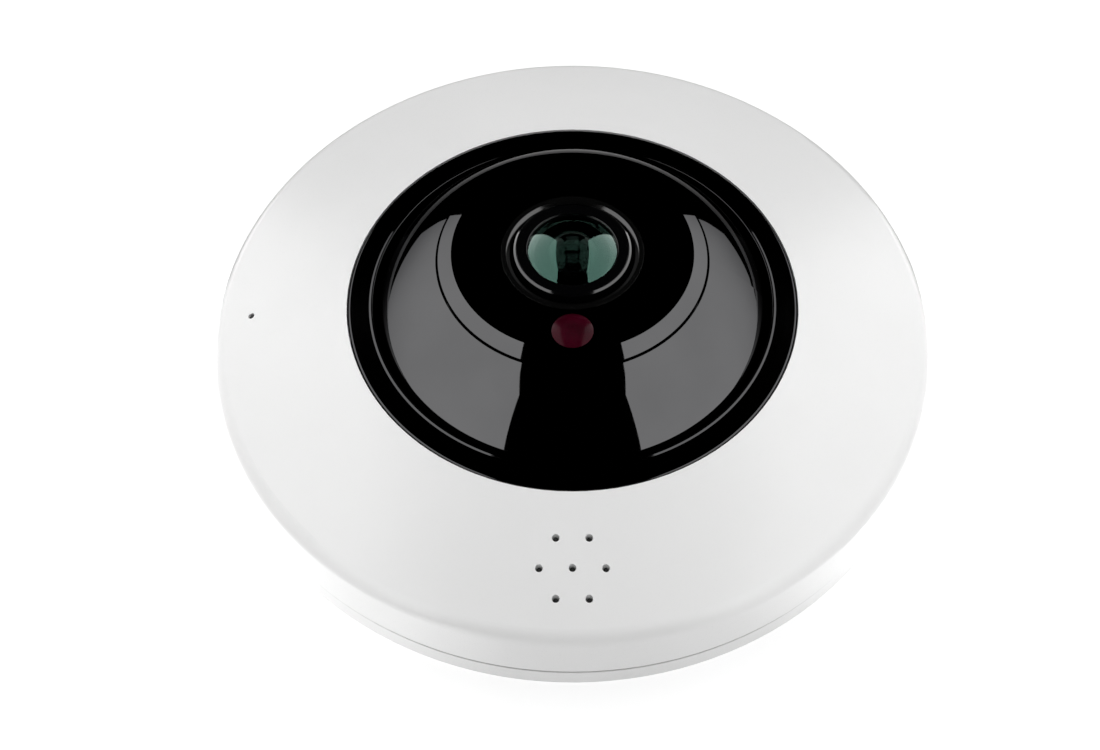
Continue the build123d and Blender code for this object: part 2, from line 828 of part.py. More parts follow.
# Lens deck: closes the dome, rounded where it meets it and flat round the lens and the window
deck_edge = deck_radius - deck_seam_gap
deck_inside = dome_radius - deck_thickness
window_room = window_offset + window_radius + window_flange_width + slip_fit
with BuildPart() as lens_deck:
    with BuildSketch(Plane.XZ):
        with BuildLine():
            shoulder_reach = (deck_edge + plateau_reach) / 2
            deck_arc = ThreePointArc(
                (deck_edge, sphere_height(dome_radius, deck_edge)),
                (shoulder_reach, sphere_height(dome_radius, shoulder_reach)),
                (plateau_reach, deck_height),
            )
            Polyline(
                deck_arc @ 1,
                (deck_hole_radius, deck_height),
                (deck_hole_radius, deck_underside),
                (window_room, deck_underside),
                (sphere_reach(deck_inside, deck_seat), deck_seat),
                (deck_edge, deck_seat),
                deck_arc @ 0,
            )
        deck_outline = make_face()
        hole_corner = deck_outline.vertices().sort_by_distance((deck_hole_radius, deck_height))[0]
        fillet(hole_corner, deck_hole_round)
    revolve(axis=Axis.Z)
    with BuildSketch(Plane((0, -window_offset, deck_underside))):
        Circle(window_radius + glue_gap)
    extrude(amount=deck_thickness, mode=Mode.SUBTRACT)
lens_deck.part.label = "lens_deck"
export_step(lens_deck.part, "parts/lens_deck.step")

# Sensor window: dark red domed plug in the deck, over the light sensor
with BuildPart() as sensor_window:
    with BuildSketch(Plane.XZ.offset(window_offset)):
        with BuildLine():
            crown_arc = ThreePointArc(
                (0, deck_height + window_crown),
                (window_radius * sin(radians(45)), deck_height + window_crown * sin(radians(45))),
                (window_radius, deck_height),
            )
            Polyline(
                crown_arc @ 1,
                (window_radius, deck_underside),
                (window_radius + window_flange_width, deck_underside),
                (window_radius + window_flange_width, deck_underside - window_flange_thickness),
                (0, deck_underside - window_flange_thickness),
                crown_arc @ 0,
            )
        make_face()
    revolve(axis=Axis((0, -window_offset, 0), (0, 0, 1)))
sensor_window.part.label = "sensor_window"
export_step(sensor_window.part, "parts/sensor_window.step")

# Lens barrel: black anodised body, bored in steps for the glasses
glass_seat = lens_rim - front_glass_seat
second_bore = second_glass_radius + glue_gap
second_seat = glass_seat - front_spacer_length - second_glass_edge
rear_opening = thread_bore - rear_stop_reach
with BuildPart() as lens_barrel:
    add(
        turned(
            (rear_opening, thread_base),
            (thread_radius, thread_base),
            (thread_radius, head_base),
            (head_radius, head_base),
            (head_radius, lens_rim - head_break),
            (head_radius - head_break, lens_rim),
            (head_bore, lens_rim),
            (head_bore, glass_seat),
            (second_bore, glass_seat),
            (second_bore, second_seat),
            (thread_bore, second_seat),
            (thread_bore, thread_base + rear_stop_thickness),
            (rear_opening, thread_base + rear_stop_thickness),
        )
    )
lens_barrel.part.label = "lens_barrel"
export_step(lens_barrel.part, "parts/lens_barrel.step")

# Front lens: the bulging fisheye glass, hollow behind, with a flat edge for its retaining ring
glass_centre = lens_rim + front_glass_rise - front_glass_radius
retainer_base = lens_rim - retainer_drop - retainer_thickness
glass_reach = sqrt(front_glass_radius**2 - (retainer_base - glass_centre) ** 2)
hollow_centre = lens_rim + front_hollow_rise - front_hollow_radius
hollow_reach = sqrt(front_hollow_radius**2 - (glass_seat - hollow_centre) ** 2)
with BuildPart() as front_lens:
    with BuildSketch(Plane.XZ):
        with BuildLine():
            glass_arc = ThreePointArc(
                (0, glass_centre + front_glass_radius),
                (glass_reach / 2, glass_centre + sqrt(front_glass_radius**2 - glass_reach**2 / 4)),
                (glass_reach, retainer_base),
            )
            hollow_arc = ThreePointArc(
                (hollow_reach, glass_seat),
                (hollow_reach / 2, hollow_centre + sqrt(front_hollow_radius**2 - hollow_reach**2 / 4)),
                (0, hollow_centre + front_hollow_radius),
            )
            Polyline(
                glass_arc @ 1,
                (front_glass_edge, retainer_base),
                (front_glass_edge, glass_seat),
                hollow_arc @ 0,
            )
            Line(hollow_arc @ 1, glass_arc @ 0)
        make_face()
    revolve(axis=Axis.Z)
front_lens.part.label = "front_lens"
export_step(front_lens.part, "parts/front_lens.step")

# Lens retaining ring: threaded ring over the edge of the front glass
retainer_top = lens_rim - retainer_drop
retainer_edge = sqrt(front_glass_radius**2 - (retainer_top - glass_centre) ** 2) + glue_gap
with BuildPart() as lens_retaining_ring:
    add(
        turned(
            (glass_reach + glue_gap, retainer_base),
            (head_bore - running_gap, retainer_base),
            (head_bore - running_gap, retainer_top),
            (retainer_edge, retainer_top),
        )
    )
lens_retaining_ring.part.label = "lens_retaining_ring"
export_step(lens_retaining_ring.part, "parts/lens_retaining_ring.step")

# Second lens: smaller glass that bulges into the hollow of the front one
second_top = second_seat + second_glass_edge
with BuildPart() as second_lens:
    with BuildSketch(Plane.XZ):
        with BuildLine():
            second_reach = second_glass_radius - second_glass_flat
            second_arc = ThreePointArc(
                (0, second_top + second_glass_crown),
                (second_reach / 2, second_top + second_glass_crown * 3 / 4),
                (second_reach, second_top),
            )
            Polyline(
                second_arc @ 1,
                (second_glass_radius, second_top),
                (second_glass_radius, second_seat),
                (0, second_seat),
                second_arc @ 0,
            )
        make_face()
    revolve(axis=Axis.Z)
second_lens.part.label = "second_lens"
export_step(second_lens.part, "parts/second_lens.step")

# Rear lens: the last glass, low in the threaded part
rear_lens_base = thread_base + rear_stop_thickness + rear_spacer_length
rear_lens_top = rear_lens_base + rear_glass_edge
small_glass_radius = thread_bore - glue_gap
with BuildPart() as rear_lens:
    with BuildSketch(Plane.XZ):
        with BuildLine():
            rear_reach = small_glass_radius - spacer_width
            rear_arc = ThreePointArc(
                (0, rear_lens_top + rear_glass_crown),
                (rear_reach / 2, rear_lens_top + rear_glass_crown * 3 / 4),
                (rear_reach, rear_lens_top),
            )
            Polyline(
                rear_arc @ 1,
                (small_glass_radius, rear_lens_top),
                (small_glass_radius, rear_lens_base),
                (0, rear_lens_base),
                rear_arc @ 0,
            )
        make_face()
    revolve(axis=Axis.Z)
rear_lens.part.label = "rear_lens"
export_step(rear_lens.part, "parts/rear_lens.step")

# Lens spacers: three rings that hold the glasses apart
with BuildPart() as lens_spacers:
    for outer, low, high in (
        (small_glass_radius, thread_base + rear_stop_thickness, rear_lens_base),
        (small_glass_radius, rear_lens_top, second_seat),
        (second_glass_radius, second_top, glass_seat),
    ):
        with BuildSketch(Plane.XY.offset(low)):
            Circle(outer)
            Circle(outer - spacer_width, mode=Mode.SUBTRACT)
        extrude(amount=high - low)
lens_spacers.part.label = "lens_spacers"
export_step(lens_spacers.part, "parts/lens_spacers.step")

# Lens baffle: rubber collar from the lamp board to the deck, with a neck in the deck's hole
baffle_bore = head_radius + baffle_gap
neck_width = deck_hole_gap - baffle_gap - slip_fit
with BuildPart() as lens_baffle:
    add(
        turned(
            (baffle_bore, lamp_board_top),
            (baffle_bore + baffle_width, lamp_board_top),
            (baffle_bore + baffle_width, deck_underside),
            (baffle_bore + neck_width, deck_underside),
            (baffle_bore + neck_width, deck_underside + baffle_neck_rise),
            (baffle_bore, deck_underside + baffle_neck_rise),
        )
    )
lens_baffle.part.label = "lens_baffle"
export_step(lens_baffle.part, "parts/lens_baffle.step")


def changer_outline(half_width, half_depth, nose_width, front):
    """Plan of the filter changer: a square part over the sensor and a narrow nose for the magnet."""
    with BuildSketch() as plan:
        Rectangle(2 * half_width, 2 * half_depth)
        with Locations((0, -front / 2)):
            Rectangle(2 * nose_width, front)
    return plan.sketch


# Lens holder: threaded tube on a base plate that closes the filter changer
with BuildPart() as lens_holder:
    with BuildSketch(Plane.XY.offset(changer_top)):
        add(changer_outline(changer_half_width, changer_half_depth, nose_half_width, nose_front))
    extrude(amount=holder_base)
    with BuildSketch(Plane.XY.offset(changer_top)):
        Circle(holder_bore + holder_wall)
    extrude(amount=holder_top - changer_top)
    with BuildSketch(Plane.XY.offset(changer_top)):
        Circle(holder_bore)
    extrude(amount=holder_top - changer_top, mode=Mode.SUBTRACT)
lens_holder.part.label = "lens_holder"
export_step(lens_holder.part, "parts/lens_holder.step")

# Lens lock ring: notched nut that fixes the focus on top of the holder
with BuildPart() as lens_lock_ring:
    with BuildSketch(Plane.XY.offset(holder_top)):
        Circle(lock_ring_radius)
        Circle(holder_bore, mode=Mode.SUBTRACT)
        with PolarLocations(lock_ring_radius, lock_notch_count):
            Rectangle(2 * lock_notch_depth, lock_notch_width, mode=Mode.SUBTRACT)
    extrude(amount=lock_ring_thickness)
lens_lock_ring.part.label = "lens_lock_ring"
export_step(lens_lock_ring.part, "parts/lens_lock_ring.step")

# Filter housing: open tray on the sensor board, with rails, a pivot post and the sensor's window
with BuildPart() as filter_housing:
    with BuildSketch(Plane.XY.offset(changer_base)):
        add(changer_outline(changer_half_width, changer_half_depth, nose_half_width, nose_front))
    extrude(amount=changer_height)
    with BuildSketch(Plane.XY.offset(changer_floor_top)):
        add(
            changer_outline(
                changer_half_width - changer_wall,
                changer_half_depth - changer_wall,
                nose_half_width - changer_wall,
                nose_inside,
            )
        )
    extrude(amount=changer_height, mode=Mode.SUBTRACT)
    with BuildSketch(Plane.XY.offset(changer_base)):
        Rectangle(sensor_size + 2 * sensor_pocket_gap, sensor_size + 2 * sensor_pocket_gap)
    extrude(amount=changer_floor, mode=Mode.SUBTRACT)
    with BuildSketch(Plane.XY.offset(changer_floor_top)):
        rail_offset = carriage_half_depth + glue_gap + rail_width / 2
        inside_width = changer_half_width - changer_wall
        fork_room = filter_spacing / 2 + fork_half_width + slip_fit
        with Locations((0, rail_offset)):
            Rectangle(2 * inside_width, rail_width)
        with Locations((0, -rail_offset)):
            Rectangle(2 * inside_width, rail_width)
            Rectangle(2 * fork_room, rail_width, mode=Mode.SUBTRACT)
    extrude(amount=carriage_lift + carriage_thickness)
    with BuildSketch(Plane.XY.offset(changer_floor_top)):
        with Locations((yoke_side, -pivot_offset), (-yoke_side, -pivot_offset)):
            Rectangle(yoke_width, yoke_post_depth)
    extrude(amount=yoke_lift)
    with BuildSketch(Plane.XY.offset(changer_floor_top)):
        with Locations((0, -pivot_offset)):
            Circle(pivot_radius)
    extrude(amount=changer_top - changer_floor_top - slip_fit)
filter_housing.part.label = "filter_housing"
export_step(filter_housing.part, "parts/filter_housing.step")

# Filter carriage: slides along X on its rails; a fork behind takes the arm's pin
with BuildPart() as filter_carriage:
    with BuildSketch(Plane.XY.offset(carriage_base)):
        with Locations((filter_spacing / 2, 0)):
            Rectangle(filter_spacing + filter_width + 2 * carriage_margin, 2 * carriage_half_depth)
        with Locations((filter_spacing / 2, -carriage_half_depth - fork_reach / 2)):
            Rectangle(2 * fork_half_width, fork_reach)
        with Locations((filter_spacing / 2, -carriage_half_depth - fork_reach + fork_slot_length / 2)):
            Rectangle(2 * (pin_radius + pin_gap), fork_slot_length, mode=Mode.SUBTRACT)
        with Locations((0, 0), (filter_spacing, 0)):
            Rectangle(filter_width - 2 * filter_lip, filter_depth - 2 * filter_lip, mode=Mode.SUBTRACT)
    extrude(amount=carriage_thickness)
    with BuildSketch(Plane.XY.offset(carriage_top)):
        with Locations((0, 0), (filter_spacing, 0)):
            Rectangle(filter_width + glue_gap, filter_depth + glue_gap)
    extrude(amount=-(filter_thickness + running_gap), mode=Mode.SUBTRACT)
filter_carriage.part.label = "filter_carriage"
export_step(filter_carriage.part, "parts/filter_carriage.step")

# Infrared cut filter, over the sensor by day, and the clear glass that takes its place at night
filter_base = carriage_top - filter_thickness - running_gap
with BuildPart() as infrared_filter:
    add(box_on(Plane((0, 0, filter_base)), filter_width, filter_depth, filter_thickness))
infrared_filter.part.label = "infrared_filter"
export_step(infrared_filter.part, "parts/infrared_filter.step")

with BuildPart() as clear_filter:
    add(box_on(Plane((filter_spacing, 0, filter_base)), filter_width, filter_depth, filter_thickness))
clear_filter.part.label = "clear_filter"
export_step(clear_filter.part, "parts/clear_filter.step")

# Changer rotor: magnet on the pivot post, with an arm and a pin that reaches down into the fork
arm_angle = 90 - swing_angle / 2
pivot_place = Vector(0, -pivot_offset, 0)
with BuildPart() as changer_rotor:
    with BuildSketch(Plane(pivot_place + Vector(0, 0, carriage_base))):
        Circle(magnet_radius)
        Circle(pivot_radius + running_gap, mode=Mode.SUBTRACT)
    extrude(amount=magnet_height)
    arm_place = pivot_place + Vector(0, 0, arm_base)
    with BuildSketch(Plane(origin=arm_place, x_dir=outward(arm_angle))):
        with Locations((arm_length / 2, 0)):
            Rectangle(arm_length, arm_width)
        with Locations((arm_length, 0)):
            Circle(arm_width / 2)
        Circle(pivot_radius + running_gap, mode=Mode.SUBTRACT)
    extrude(amount=arm_thickness)
    with BuildSketch(Plane(origin=arm_place, x_dir=outward(arm_angle))):
        with Locations((arm_length, 0)):
            Circle(pin_radius)
    extrude(amount=-(arm_base - carriage_base - slip_fit))
changer_rotor.part.label = "changer_rotor"
export_step(changer_rotor.part, "parts/changer_rotor.step")

# Changer yoke: soft iron fork on two posts, its poles on both sides of the magnet
with BuildPart() as changer_yoke:
    with BuildSketch(Plane.XY.offset(yoke_base)):
        with Locations((0, -core_offset)):
            Rectangle(2 * yoke_side + yoke_width, yoke_width)
        leg_back = core_offset + yoke_width / 2
        leg_length = leg_back - pivot_offset + yoke_reach
        with Locations((yoke_side, leg_length / 2 - leg_back), (-yoke_side, leg_length / 2 - leg_back)):
            Rectangle(yoke_width, leg_length)
    extrude(amount=yoke_thickness)
changer_yoke.part.label = "changer_yoke"
export_step(changer_yoke.part, "parts/changer_yoke.step")

# Changer coil: winding round the yoke's back bar
with BuildPart() as changer_coil:
    with BuildSketch(Plane.YZ.offset(-coil_length / 2)):
        coil_bore_width = yoke_width + 2 * glue_gap
        coil_bore_height = yoke_thickness + 2 * glue_gap
        with Locations((-core_offset, yoke_base + yoke_thickness / 2)):
            Rectangle(coil_bore_width + 2 * coil_thickness, coil_bore_height + 2 * coil_thickness)
            Rectangle(coil_bore_width, coil_bore_height, mode=Mode.SUBTRACT)
    extrude(amount=coil_length)
changer_coil.part.label = "changer_coil"
export_step(changer_coil.part, "parts/changer_coil.step")

# Image sensor: square package in the housing's window, under the optical axis
with BuildPart() as image_sensor:
    add(box_on(Plane((0, 0, changer_base)), sensor_size, sensor_size, sensor_thickness))
image_sensor.part.label = "image_sensor"
export_step(image_sensor.part, "parts/image_sensor.step")

# Sensor board: round board on the chassis' four lugs
with BuildPart() as sensor_board:
    with BuildSketch(Plane.XY.offset(sensor_board_base)):
        Circle(sensor_board_radius)
        with PolarLocations(sensor_screw_circle, len(sensor_screw_angles), sensor_screw_angles[0]):
            Circle(board_screw_radius + screw_gap, mode=Mode.SUBTRACT)
    extrude(amount=sensor_board_thickness)
sensor_board.part.label = "sensor_board"
export_step(sensor_board.part, "parts/sensor_board.step")

with BuildPart() as sensor_board_screws:
    for screw_angle in sensor_screw_angles:
        add(board_screw(screw_angle, sensor_screw_circle, changer_base, sensor_board_thickness))
sensor_board_screws.part.label = "sensor_board_screws"
export_step(sensor_board_screws.part, "parts/sensor_board_screws.step")

# Lamp board: ring on the chassis' top edge, with six infrared lamps and the light sensor
with BuildPart() as lamp_board:
    with BuildSketch(Plane.XY.offset(lamp_board_base)):
        Circle(lamp_board_radius)
        Circle(lamp_board_hole, mode=Mode.SUBTRACT)
        with PolarLocations(lamp_screw_circle, len(lamp_lug_angles)):
            Circle(board_screw_radius + screw_gap, mode=Mode.SUBTRACT)
    extrude(amount=lamp_board_thickness)
lamp_board.part.label = "lamp_board"
export_step(lamp_board.part, "parts/lamp_board.step")

with BuildPart() as infrared_lamps:
    for number in range(lamp_count):
        lamp_place = outward(number * 360 / lamp_count) * lamp_circle + Vector(0, 0, lamp_board_top)
        add(box_on(Plane(lamp_place), lamp_size, lamp_size, lamp_base_height))
        add(
            turned(
                (0, lamp_base_height),
                (lamp_lens_radius, lamp_base_height),
                (lamp_lens_tip, lamp_base_height + lamp_lens_height),
                (0, lamp_base_height + lamp_lens_height),
                on=Plane(lamp_place),
            )
        )
infrared_lamps.part.label = "infrared_lamps"
export_step(infrared_lamps.part, "parts/infrared_lamps.step")

with BuildPart() as light_sensor:
    sensor_place = Plane((0, -window_offset, lamp_board_top))
    add(box_on(sensor_place, light_sensor_size, light_sensor_size, light_sensor_height))
light_sensor.part.label = "light_sensor"
export_step(light_sensor.part, "parts/light_sensor.step")

with BuildPart() as lamp_board_screws:
    for screw_angle in lamp_lug_angles:
        add(board_screw(screw_angle, lamp_screw_circle, lamp_board_top, lamp_board_thickness))
lamp_board_screws.part.label = "lamp_board_screws"
export_step(lamp_board_screws.part, "parts/lamp_board_screws.step")

# Inner chassis: windowed tube with feet below, lugs for the sensor board and lugs for the lamp board
sensor_lug_inside = sensor_screw_circle - lug_depth / 2
lug_root = chassis_bore + chassis_wall / 2
lamp_lug_inside = chassis_bore - lamp_lug_depth
window_top = lamp_board_base - lug_height - chassis_rail / 2
with BuildPart() as inner_chassis:
    with BuildSketch(Plane.XY.offset(board_top)):
        Circle(chassis_radius)
        Circle(chassis_bore, mode=Mode.SUBTRACT)
    extrude(amount=lamp_board_base - board_top)
    with BuildSketch(Plane.XY.offset(board_top + chassis_rail)):
        half_step = 180 / chassis_window_count
        with PolarLocations(chassis_bore + chassis_wall / 2, chassis_window_count, start_angle=half_step):
            Rectangle(3 * chassis_wall, chassis_window_width)
    extrude(amount=window_top - board_top - chassis_rail, mode=Mode.SUBTRACT)
    with BuildSketch(Plane.XY.offset(sensor_board_base - lug_height)):
        lug_middle = (sensor_lug_inside + lug_root) / 2
        with PolarLocations(lug_middle, len(sensor_screw_angles), sensor_screw_angles[0]):
            Rectangle(lug_root - sensor_lug_inside, lug_width)
    extrude(amount=lug_height)
    with BuildSketch(Plane.XY.offset(lamp_board_base - lug_height)):
        with PolarLocations((lamp_lug_inside + lug_root) / 2, len(lamp_lug_angles)):
            Rectangle(lug_root - lamp_lug_inside, lug_width)
    extrude(amount=lug_height)
    with BuildSketch(Plane.XY.offset(board_top)):
        foot_length = chassis_radius + foot_reach - lug_root
        with PolarLocations(lug_root + foot_length / 2, len(foot_angles), start_angle=foot_angles[0]):
            Rectangle(foot_length, foot_width)
    extrude(amount=foot_thickness)
    with BuildSketch(Plane.XY.offset(board_top)):
        with PolarLocations(foot_circle, len(foot_angles), start_angle=foot_angles[0]):
            Circle(board_screw_radius + screw_gap)
    extrude(amount=foot_thickness, mode=Mode.SUBTRACT)
    with BuildSketch(Plane.XY.offset(sensor_board_base)):
        with PolarLocations(sensor_screw_circle, len(sensor_screw_angles), sensor_screw_angles[0]):
            Circle(board_screw_radius + glue_gap)
    extrude(amount=-(board_screw_grip + screw_tip_gap), mode=Mode.SUBTRACT)
    with BuildSketch(Plane.XY.offset(lamp_board_base)):
        with PolarLocations(lamp_screw_circle, len(lamp_lug_angles)):
            Circle(board_screw_radius + glue_gap)
    extrude(amount=-(board_screw_grip + screw_tip_gap), mode=Mode.SUBTRACT)
inner_chassis.part.label = "inner_chassis"
export_step(inner_chassis.part, "parts/inner_chassis.step")

with BuildPart() as chassis_screws:
    for screw_angle in foot_angles:
        grip = foot_thickness + board_thickness
        add(board_screw(screw_angle, foot_circle, board_top + foot_thickness, grip))
chassis_screws.part.label = "chassis_screws"
export_step(chassis_screws.part, "parts/chassis_screws.step")

# Main board: round board with a tab that reaches the sockets in the wall
with BuildPart() as main_board:
    with BuildSketch(Plane.XY.offset(board_base)):
        Circle(board_radius)
        add(ring_sector(foot_circle, board_tab_radius, tab_middle_angle, tab_sweep_angle))
        with PolarLocations(board_screw_circle, case_screw_count, start_angle=first_case_screw):
            Circle(board_screw_radius + screw_gap, mode=Mode.SUBTRACT)
        with PolarLocations(foot_circle, len(foot_angles), start_angle=foot_angles[0]):
            Circle(board_screw_radius + screw_gap, mode=Mode.SUBTRACT)
    extrude(amount=board_thickness)
main_board.part.label = "main_board"
export_step(main_board.part, "parts/main_board.step")

with BuildPart() as board_screws:
    for number in range(case_screw_count):
        screw_angle = first_case_screw + number * 360 / case_screw_count
        add(board_screw(screw_angle, board_screw_circle, board_top, board_thickness))
board_screws.part.label = "board_screws"
export_step(board_screws.part, "parts/board_screws.step")

# Main processor with its thermal pad and finned heat sink, under the sensor board
pad_base = board_top + processor_height
sink_base = pad_base + thermal_pad_height
fin_base = sink_base + heat_sink_base
with BuildPart() as main_processor:
    add(box_on(Plane((0, 0, board_top)), processor_size, processor_size, processor_height))
main_processor.part.label = "main_processor"
export_step(main_processor.part, "parts/main_processor.step")

with BuildPart() as thermal_pad:
    add(box_on(Plane((0, 0, pad_base)), processor_size, processor_size, thermal_pad_height))
thermal_pad.part.label = "thermal_pad"
export_step(thermal_pad.part, "parts/thermal_pad.step")

with BuildPart() as heat_sink:
    with BuildSketch(Plane.XY.offset(sink_base)):
        Rectangle(heat_sink_size, heat_sink_size)
    extrude(amount=heat_sink_base)
    with BuildSketch(Plane.XY.offset(fin_base)):
        with GridLocations((heat_sink_size - fin_thickness) / (fin_count - 1), 0, fin_count, 1):
            Rectangle(fin_thickness, heat_sink_size)
    extrude(amount=sensor_board_base - heat_sink_gap - fin_base)
heat_sink.part.label = "heat_sink"
export_step(heat_sink.part, "parts/heat_sink.step")

memory_offset = heat_sink_size / 2 + memory_gap + memory_depth / 2
with BuildPart() as memory_chips:
    with BuildSketch(Plane.XY.offset(board_top)):
        with Locations((memory_spacing / 2, memory_offset), (-memory_spacing / 2, memory_offset)):
            Rectangle(memory_width, memory_depth)
    extrude(amount=memory_height)
memory_chips.part.label = "memory_chips"
export_step(memory_chips.part, "parts/memory_chips.step")

# Radio module with its coaxial lead and the flat antenna stuck in the tray
radio_offset = chassis_radius + radio_gap + radio_width / 2
with BuildPart() as radio_module:
    add(box_on(Plane((radio_offset, 0, board_top)), radio_width, radio_depth, radio_height))
radio_module.part.label = "radio_module"
export_step(radio_module.part, "parts/radio_module.step")

with BuildPart() as antenna:
    with BuildSketch(Plane.XY.offset(tray_floor)):
        antenna_outside = lip_inner_radius - antenna_margin
        add(ring_sector(step_radius + antenna_margin, antenna_outside, 0, antenna_sweep))
    extrude(amount=antenna_thickness)
antenna.part.label = "antenna"
export_step(antenna.part, "parts/antenna.step")

with BuildPart() as antenna_lead:
    lead_level = board_top + coax_height
    with BuildLine(Plane.XZ) as coax_route:
        FilletPolyline(
            (radio_offset + radio_width / 2, lead_level),
            (step_radius - coax_bend / 2, lead_level),
            (tower_circle - 2 * coax_radius, tray_floor + antenna_thickness + coax_radius),
            radius=coax_bend,
        )
    with BuildSketch(Plane(origin=coax_route.line @ 0, z_dir=coax_route.line % 0)):
        Circle(coax_radius)
    sweep(path=coax_route.line)
antenna_lead.part.label = "antenna_lead"
export_step(antenna_lead.part, "parts/antenna_lead.step")

# Power parts on the main board: two inductors and a capacitor
inductor_offset = chassis_radius + inductor_gap + inductor_size / 2
capacitor_offset = chassis_radius + capacitor_gap + capacitor_radius
with BuildPart() as power_parts:
    with BuildSketch(Plane.XY.offset(board_top)):
        with Locations((-inductor_offset, inductor_spacing / 2), (-inductor_offset, -inductor_spacing / 2)):
            Rectangle(inductor_size, inductor_size)
    extrude(amount=inductor_height)
    with BuildSketch(Plane(outward(capacitor_angle) * capacitor_offset + Vector(0, 0, board_top))):
        Circle(capacitor_radius)
    extrude(amount=capacitor_height)
power_parts.part.label = "power_parts"
export_step(power_parts.part, "parts/power_parts.step")

# Board connectors: speaker, microphone and lamp sockets, and the two clips of the ribbon
lamp_lead_reach = sensor_board_radius + lamp_lead_gap
lamp_connector_edge = lamp_lead_reach - lamp_connector_gap
speaker_back = shell_wall + seat_gap + speaker_gasket_thickness + speaker_depth
speaker_lead_inset = speaker_magnet_radius + lead_thickness + magnet_lead_gap
speaker_lead_start = speaker_circle - speaker_back * speaker_circle / crown_radius - speaker_lead_inset
speaker_connector_edge = speaker_lead_start - speaker_lead_run
microphone_back = shell_wall + glue_gap + boot_face + capsule_depth
microphone_lean = microphone_circle / crown_radius
microphone_lead_start = microphone_circle - microphone_back * microphone_lean - lead_thickness
inductor_edge = inductor_offset + inductor_size / 2
microphone_connector_edge = inductor_edge + microphone_connector_gap + connector_depth
ribbon_connector_edge = heat_sink_size / 2 + ribbon_connector_gap + ribbon_connector_depth
with BuildPart() as board_connectors:
    for angle, edge in (
        (speaker_angle, speaker_connector_edge),
        (microphone_angle, microphone_connector_edge),
        (lamp_lead_angle, lamp_connector_edge),
    ):
        place = outward(angle) * (edge - connector_depth / 2) + Vector(0, 0, board_top)
        connector_plane = Plane(origin=place, x_dir=outward(angle))
        add(box_on(connector_plane, connector_depth, connector_width, connector_height))
    clip_middle = outward(ribbon_angle) * (ribbon_connector_edge - ribbon_connector_depth / 2)
    for base in (board_top, sensor_board_base - ribbon_connector_height):
        clip_plane = Plane(origin=clip_middle + Vector(0, 0, base), x_dir=outward(ribbon_angle))
        add(box_on(clip_plane, ribbon_connector_depth, ribbon_connector_width, ribbon_connector_height))
board_connectors.part.label = "board_connectors"
export_step(board_connectors.part, "parts/board_connectors.step")

ribbon_reach = ribbon_connector_edge + ribbon_loop
with BuildPart() as sensor_ribbon:
    upper_end = sensor_board_base - ribbon_connector_height / 2
    lower_end = board_top + ribbon_connector_height / 2
    add(
        flat_lead(
            upright_plane(ribbon_angle),
            ribbon_width,
            ribbon_thickness,
            ribbon_bend,
            (ribbon_connector_edge, upper_end),
            (ribbon_reach, upper_end),
            (ribbon_reach, lower_end),
            (ribbon_connector_edge, lower_end),
        )
    )
sensor_ribbon.part.label = "sensor_ribbon"
export_step(sensor_ribbon.part, "parts/sensor_ribbon.step")

lead_level = board_top + connector_height / 2
with BuildPart() as lamp_lead:
    add(
        flat_lead(
            upright_plane(lamp_lead_angle),
            lamp_lead_width,
            lead_thickness,
            lead_bend,
            (lamp_lead_reach, lamp_board_base),
            (lamp_lead_reach, lead_level),
            (lamp_connector_edge, lead_level),
        )
    )
lamp_lead.part.label = "lamp_lead"
export_step(lamp_lead.part, "parts/lamp_lead.step")


def back_height(circle, depth, reach):
    """Height, at a distance from the axis, of a plane this far below the crown at a place on it."""
    lean = asin(circle / crown_radius)
    middle = circle - depth * sin(lean)
    return crown_height(circle) - depth * cos(lean) + (middle - reach) * sin(lean) / cos(lean)


def sound_lead(angle, circle, depth, start, connector_edge):
    """Flat lead from the back of the speaker or the microphone down to its board connector."""
    return flat_lead(
        upright_plane(angle),
        lead_width,
        lead_thickness,
        lead_bend,
        (start, back_height(circle, depth, start + lead_thickness)),
        (start, lead_level),
        (connector_edge, lead_level),
    )


# Speaker: gasket, metal frame, paper cone and magnet, in the shell's collar
speaker_seat = shell_wall + seat_gap
speaker_plane = crown_plane(speaker_circle, speaker_angle, speaker_seat)
frame_front = -speaker_gasket_thickness
frame_back = frame_front - speaker_depth
speaker_bore = speaker_radius - speaker_wall
with BuildPart() as speaker_gasket:
    with BuildSketch(speaker_plane):
        Circle(speaker_radius)
        Circle(speaker_radius - speaker_gasket_width, mode=Mode.SUBTRACT)
    extrude(amount=frame_front)
speaker_gasket.part.label = "speaker_gasket"
export_step(speaker_gasket.part, "parts/speaker_gasket.step")

with BuildPart() as speaker_frame:
    add(
        turned(
            (0, frame_back),
            (speaker_radius, frame_back),
            (speaker_radius, frame_front),
            (speaker_bore, frame_front),
            (speaker_bore, frame_back + speaker_wall),
            (0, frame_back + speaker_wall),
            on=speaker_plane,
        )
    )
speaker_frame.part.label = "speaker_frame"
export_step(speaker_frame.part, "parts/speaker_frame.step")

with BuildPart() as speaker_cone:
    add(
        turned(
            (0, frame_front - cone_drop + cone_cap_rise),
            (cone_inner_radius, frame_front - cone_drop),
            (speaker_bore - running_gap, frame_front),
            (speaker_bore - running_gap, frame_front - cone_thickness),
            (cone_inner_radius, frame_front - cone_drop - cone_thickness),
            (0, frame_front - cone_drop + cone_cap_rise - cone_thickness),
            on=speaker_plane,
        )
    )
speaker_cone.part.label = "speaker_cone"
export_step(speaker_cone.part, "parts/speaker_cone.step")

with BuildPart() as speaker_magnet:
    with BuildSketch(speaker_plane.offset(frame_back)):
        Circle(speaker_magnet_radius)
    extrude(amount=-speaker_magnet_depth)
speaker_magnet.part.label = "speaker_magnet"
export_step(speaker_magnet.part, "parts/speaker_magnet.step")

